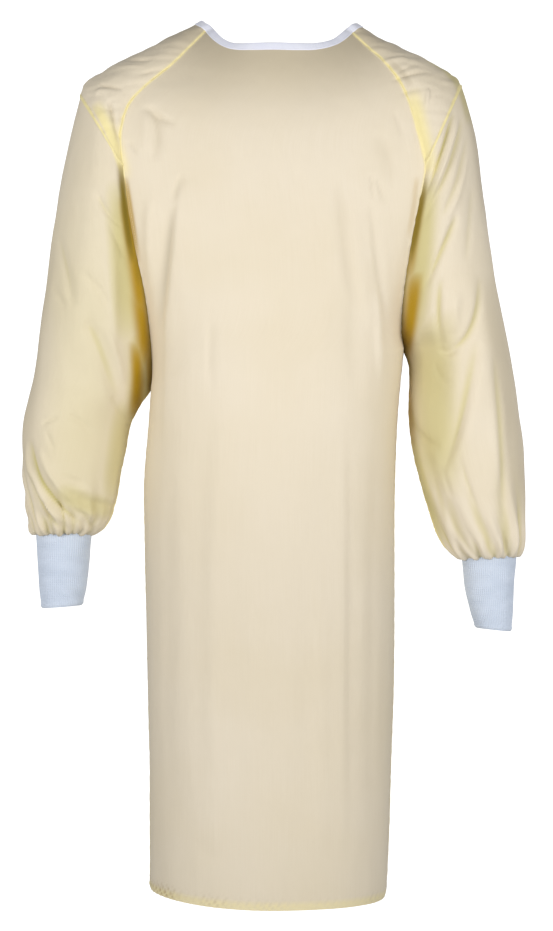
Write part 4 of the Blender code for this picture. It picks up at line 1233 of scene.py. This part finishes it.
def cloth_material():
    """Return the cream woven polyester: fine plain weave, soft sheen, yellower where it lies double, and
    painted shade.
    """
    shader = Shader("cream_woven_polyester", *CLOTH_FINISH)
    weave = shader.place("weave")
    threads = shader.combine("MULTIPLY", shader.waves(weave, THREADS, "X"), shader.waves(weave, THREADS, "Y"))
    slub = shader.noise(shader.stretch(weave, SLUB_SCALE), *SLUB_NOISE)
    blotch = shader.noise(shader.place("object"), *CLOTH_NOISE)
    crumple = shader.noise(shader.stretch(shader.place("object"), CRUMPLE_SCALE), *CRUMPLE_NOISE)
    colour = shader.mix(shader.ramp(blotch, *BLOTCHES), CLOTH, CLOTH_SHADE)
    tone = shader.combine("ADD", shader.ramp(threads, 0.0, 1.0, 0.0, TONE),
                          shader.ramp(slub, *NOISE_RANGE, 0.0, TONE))
    colour = shader.mix(tone, colour, CLOTH_DARK)
    # Painted shade, neutral and yellow, in the shares that the mesh keeps.
    for mark, share, tint in (("neutral_shade", NEUTRAL_SHADE_SHARE, CLOTH_NEUTRAL_SHADE), ("shade", CREASE_SHARE, CREASE_SHADE)):
        colour = shader.mix(shader.combine("MULTIPLY", shader.mark(mark), share), colour, tint)
    # The yellow of doubled cloth, painted orange shade in the armpits and painted shadow along the dark line
    # under each arm.
    for mark, tint in (("double", SEAM_YELLOW), ("recess_shade", RECESS_SHADE_AMBER), ("slit_shadow", SLIT_SHADOW_BROWN)):
        colour = shader.mix(shader.mark(mark), colour, tint)
    normal = shader.bump(crumple, CRUMPLE_DEPTH, shader.bump(threads, THREAD_DEPTH))
    return shader.finish(colour, normal, shader.ramp(blotch, *NOISE_RANGE, *CLOTH_ROUGHNESS))


def knit_material():
    """Return the bluish white rib knit: rows of stitches over the ribs that the mesh has, with painted shade
    in their grooves.
    """
    shader = Shader("blue_white_rib_knit", *KNIT_FINISH)
    weave = shader.place("weave")
    courses = shader.waves(weave, KNIT_COURSES, "Y")
    stitch = shader.combine("MULTIPLY", courses, shader.waves(weave, KNIT_WALES, "X"))
    fuzz = shader.noise(shader.place("object"), *FUZZ_NOISE)
    blotch = shader.noise(shader.stretch(shader.place("object"), KNIT_SCALE), *KNIT_NOISE)
    colour = shader.mix(shader.ramp(blotch, *BLOTCHES), KNIT, KNIT_SHADE)
    # Painted shade in the grooves between the ribs and between the stitches.
    for value, groove_shade in ((shader.mark("rib"), RIB_GROOVE_SHADE), (stitch, STITCH_GROOVE_SHADE)):
        colour = shader.mix(shader.ramp(value, 0.0, 1.0, groove_shade, 0.0), colour, KNIT_GROOVE_SHADE)
    height = shader.combine("ADD", stitch, shader.combine("MULTIPLY", fuzz, FUZZ))
    return shader.finish(colour, shader.bump(height, KNIT_DEPTH))


def tape_material():
    """Return the bluish white binding tape: a fine twill with a softer sheen and painted shade in its
    grooves.
    """
    shader = Shader("binding_twill_tape", *TAPE_FINISH)
    twill = shader.waves(shader.place("weave"), TWILL, "DIAGONAL")
    blotch = shader.noise(shader.place("object"), *TAPE_NOISE)
    colour = shader.mix(shader.ramp(blotch, *BLOTCHES), TAPE, TAPE_SHADE)
    # Painted shade in the twill's grooves.
    colour = shader.mix(shader.ramp(twill, 0.0, 1.0, TWILL_GROOVE_SHADE, 0.0), colour, TAPE_SHADE)
    return shader.finish(colour, shader.bump(twill, TWILL_DEPTH))


def thread_material(name, colour):
    """Return a twisted sewing thread."""
    shader = Shader(name, *THREAD_FINISH)
    twist = shader.noise(shader.place("object"), *TWIST_NOISE)
    darker = tuple(THREAD_DARKER * value for value in colour[:3]) + (1.0,)
    return shader.finish(shader.mix(twist, colour, darker), shader.bump(twist, TWIST_DEPTH))


def snap_material():
    """Return the snap's moulded resin, with a faint mottle and a satin face."""
    shader = Shader("snap_satin_resin", *SNAP_FINISH)
    mottle = shader.noise(shader.place("object"), *SNAP_NOISE)
    colour = shader.mix(mottle, SNAP, SNAP_SHADE)
    roughness = shader.ramp(mottle, *NOISE_RANGE, *SNAP_ROUGHNESS)
    return shader.finish(colour, shader.bump(mottle, SNAP_DEPTH), roughness)


def stage_material(name, glow):
    """Return the plain pale surface of the floor or of the backdrop."""
    shader = Shader(name, *STAGE_FINISH)
    shader.feed(shader.surface, {"Base Color": STAGE_COLOUR, "Emission Color": WHITE,
                                 "Emission Strength": glow})
    return shader.material


def add_stage():
    """Make the floor, and a lit screen so far behind that it hides the gown from no side."""
    share = np.linspace(0.0, 1.0, STAGE_STEPS)
    floor = [(FLOOR_ENDS[0] + (FLOOR_ENDS[1] - FLOOR_ENDS[0]) * part, FLOOR_Z) for part in share]
    screen = [(SCREEN_BACK - SCREEN_BULGE * (2.0 * part - 1.0) ** 2,
               SCREEN_ENDS[0] + (SCREEN_ENDS[1] - SCREEN_ENDS[0]) * part) for part in share]
    for name, profile, half, glow in (("floor", floor, FLOOR_HALF, 0.0),
                                      ("backdrop", screen, SCREEN_HALF, SCREEN_GLOW)):
        points = [(side * half, y, z) for y, z in profile for side in (-1.0, 1.0)]
        faces = [(2 * k, 2 * k + 1, 2 * k + 3, 2 * k + 2) for k in range(len(profile) - 1)]
        make_mesh("studio_" + name, points, faces, stage_material("plain_white_" + name, glow))


def add_lights():
    """Make the soft studio lights, each turned to the gown."""
    for name, place, (width, height), power in LIGHTS:
        lamp = bpy.data.lights.new(name, "AREA")
        lamp.shape = "RECTANGLE"
        lamp.size = width
        lamp.size_y = height
        lamp.energy = power
        lamp.spread = math.radians(LIGHT_SPREAD)
        lamp.color = LIGHT_COLOUR
        light = link(name, lamp)
        light.location = place
        light.rotation_euler = (Vector(LIGHT_AIM) - light.location).to_track_quat("-Z", "Y").to_euler()
    world = bpy.data.worlds.new("soft_room")
    world.use_nodes = True
    background = world.node_tree.nodes["Background"]
    background.inputs["Color"].default_value = WHITE
    background.inputs["Strength"].default_value = ROOM_STRENGTH
    bpy.context.scene.world = world
    bpy.context.scene.view_settings.view_transform = "Standard"


def add_camera():
    """Place the camera level in front of the gown, as far off and as wide as the photograph's."""
    lens = bpy.data.cameras.new("view")
    lens.sensor_fit = "AUTO"
    lens.sensor_width = SENSOR
    lens.lens = SENSOR * CAMERA_DISTANCE / (FRAME_HEIGHT * METRES_PER_PIXEL)
    camera = link("camera", lens)
    camera.location = (CAMERA_X, -CAMERA_DISTANCE, CAMERA_Z)
    camera.rotation_euler = (math.pi / 2.0, 0.0, 0.0)
    bpy.context.scene.camera = camera


def sleeve_panels(side, table, shares, flip):
    """Return the shoulder and the sleeve of one side, with all their fine rows."""
    rows = refine(table, TUBE_COLUMNS, shares)
    v_seam, underarm = (sum(len(part) for part in shares[:row]) for row in (V_SEAM_ROW, UNDERARM_ROW))
    lines = [spaced(sleeve_line(row), SLEEVE_ROUND) for row in rows]
    shoulder = Panel("shoulder_" + side, lines[:v_seam + 1], flip)
    return rows, shoulder, Panel("sleeve_" + side, lines[v_seam:], flip, underarm - v_seam)


def body_panels(left_rows, right_rows, chest_shares):
    """Return the front and the two backs."""
    chest = refine(CHEST, CHEST_COLUMNS, chest_shares)
    shares = table_shares(SKIRT, SKIRT_COLUMNS, BODY_PITCH, {len(SKIRT) - 1},
                          (("left_x", "left_z"), ("right_x", "centre_z")))
    forms = []
    for index, row in enumerate(chest):
        share = min(SWEEP_CHANGE * (index / (len(chest) - 1)), 1.0)
        sweep = NECK_SWEEP + (BODY_SWEEP - NECK_SWEEP) * share
        both = left_rows[index], right_rows[index]
        forms.append(((seam_points(both, "front", -1.0), row["front_z"], row["front"], -1.0, sweep),
                      (seam_points(both, "back", 1.0), row["back_z"], row["back"], 1.0, sweep)))
    for row in refine(SKIRT, SKIRT_COLUMNS, shares)[1:]:
        ends = [np.array([row[side + "_x"], 0.0, row[side + "_z"]]) for side in ("left", "right")]
        forms.append([(ends, row["centre_z"], row[side], sign, BODY_SWEEP)
                      for side, sign in (("front", -1.0), ("back", 1.0))])
    front = [spaced(body_row(*form), FRONT_COLUMNS) for form, _ in forms]
    upper, under = zip(*[back_halves(body_row(*form)) for _, form in forms])
    return Panel("front", front, True), Panel("back_left", upper, False), Panel("back_right", under, False)


def declare(piece, node):
    """Attach a piece to the root body and hide the solid that it stands for, if any."""
    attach(piece, "root")
    if node:
        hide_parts(node)


def build_gown():
    """Make every visible piece of the gown."""
    left, right = ([row + form for row, form in zip(SLEEVES[side], SLEEVE_FORM)]
                   for side in ("left", "right"))
    left_shares = table_shares(left, TUBE_COLUMNS, ROW_PITCH, {0, V_SEAM_ROW, len(left) - 1})
    right_shares = table_shares(right, TUBE_COLUMNS, ROW_PITCH, {len(right) - 1})
    right_shares = left_shares[:UNDERARM_ROW] + right_shares[UNDERARM_ROW:]
    left_rows, shoulder_left, sleeve_left = sleeve_panels("left", left, left_shares, False)
    right_rows, shoulder_right, sleeve_right = sleeve_panels("right", right, right_shares, True)
    panels = [*body_panels(left_rows, right_rows, left_shares[:UNDERARM_ROW]),
              shoulder_left, shoulder_right, sleeve_left, sleeve_right]
    named = {panel.name: panel for panel in panels}
    weld_normals(panels)
    moves = {panel.name: add_creases(panel) + cloth_ripples(panel) for panel in panels}
    for panel, rows, table in ((sleeve_left, left_rows, GATHER_RIDGES["left"]),
                               (sleeve_right, right_rows, GATHER_RIDGES["right"])):
        moves[panel.name] = moves[panel.name] + gather_rise(panel, rows[-panel.rows:], table)
    move_out(panels, share_moves(panels, list(moves.values())))
    for panel in panels:
        mark_panel(panel)
    move_out(panels, [sewn_edges(panel) for panel in panels])
    cloth = cloth_material()
    for panel in panels:
        piece = shell(panel.name + "_cloth", panel, SHELL, cloth, panel.marks)
        declare(piece, panel.name)
    knit = knit_material()
    for side, flip in (("left", False), ("right", True)):
        declare(cuff_piece(side, flip, knit), "cuff_" + side)
    tape, tape_line = binding_piece(named, tape_material())
    declare(tape, "neck_binding")
    declare(snap_piece(named["back_left"], snap_material()), "neck_snap")
    thread = thread_material("cream_sewing_thread", THREAD)
    for name, places in STITCH_LINES.items():
        lines = [edge_line(named[panel], edge, distance) for panel, edge, distance in places]
        declare(stitches("stitches_" + name, lines, thread), None)
    thread = thread_material("white_sewing_thread", THREAD_TAPE)
    declare(stitches("stitches_neck_binding", [tape_line], thread), None)


add_stage()
add_lights()
add_camera()
build_gown()
bpy.context.view_layer.update()
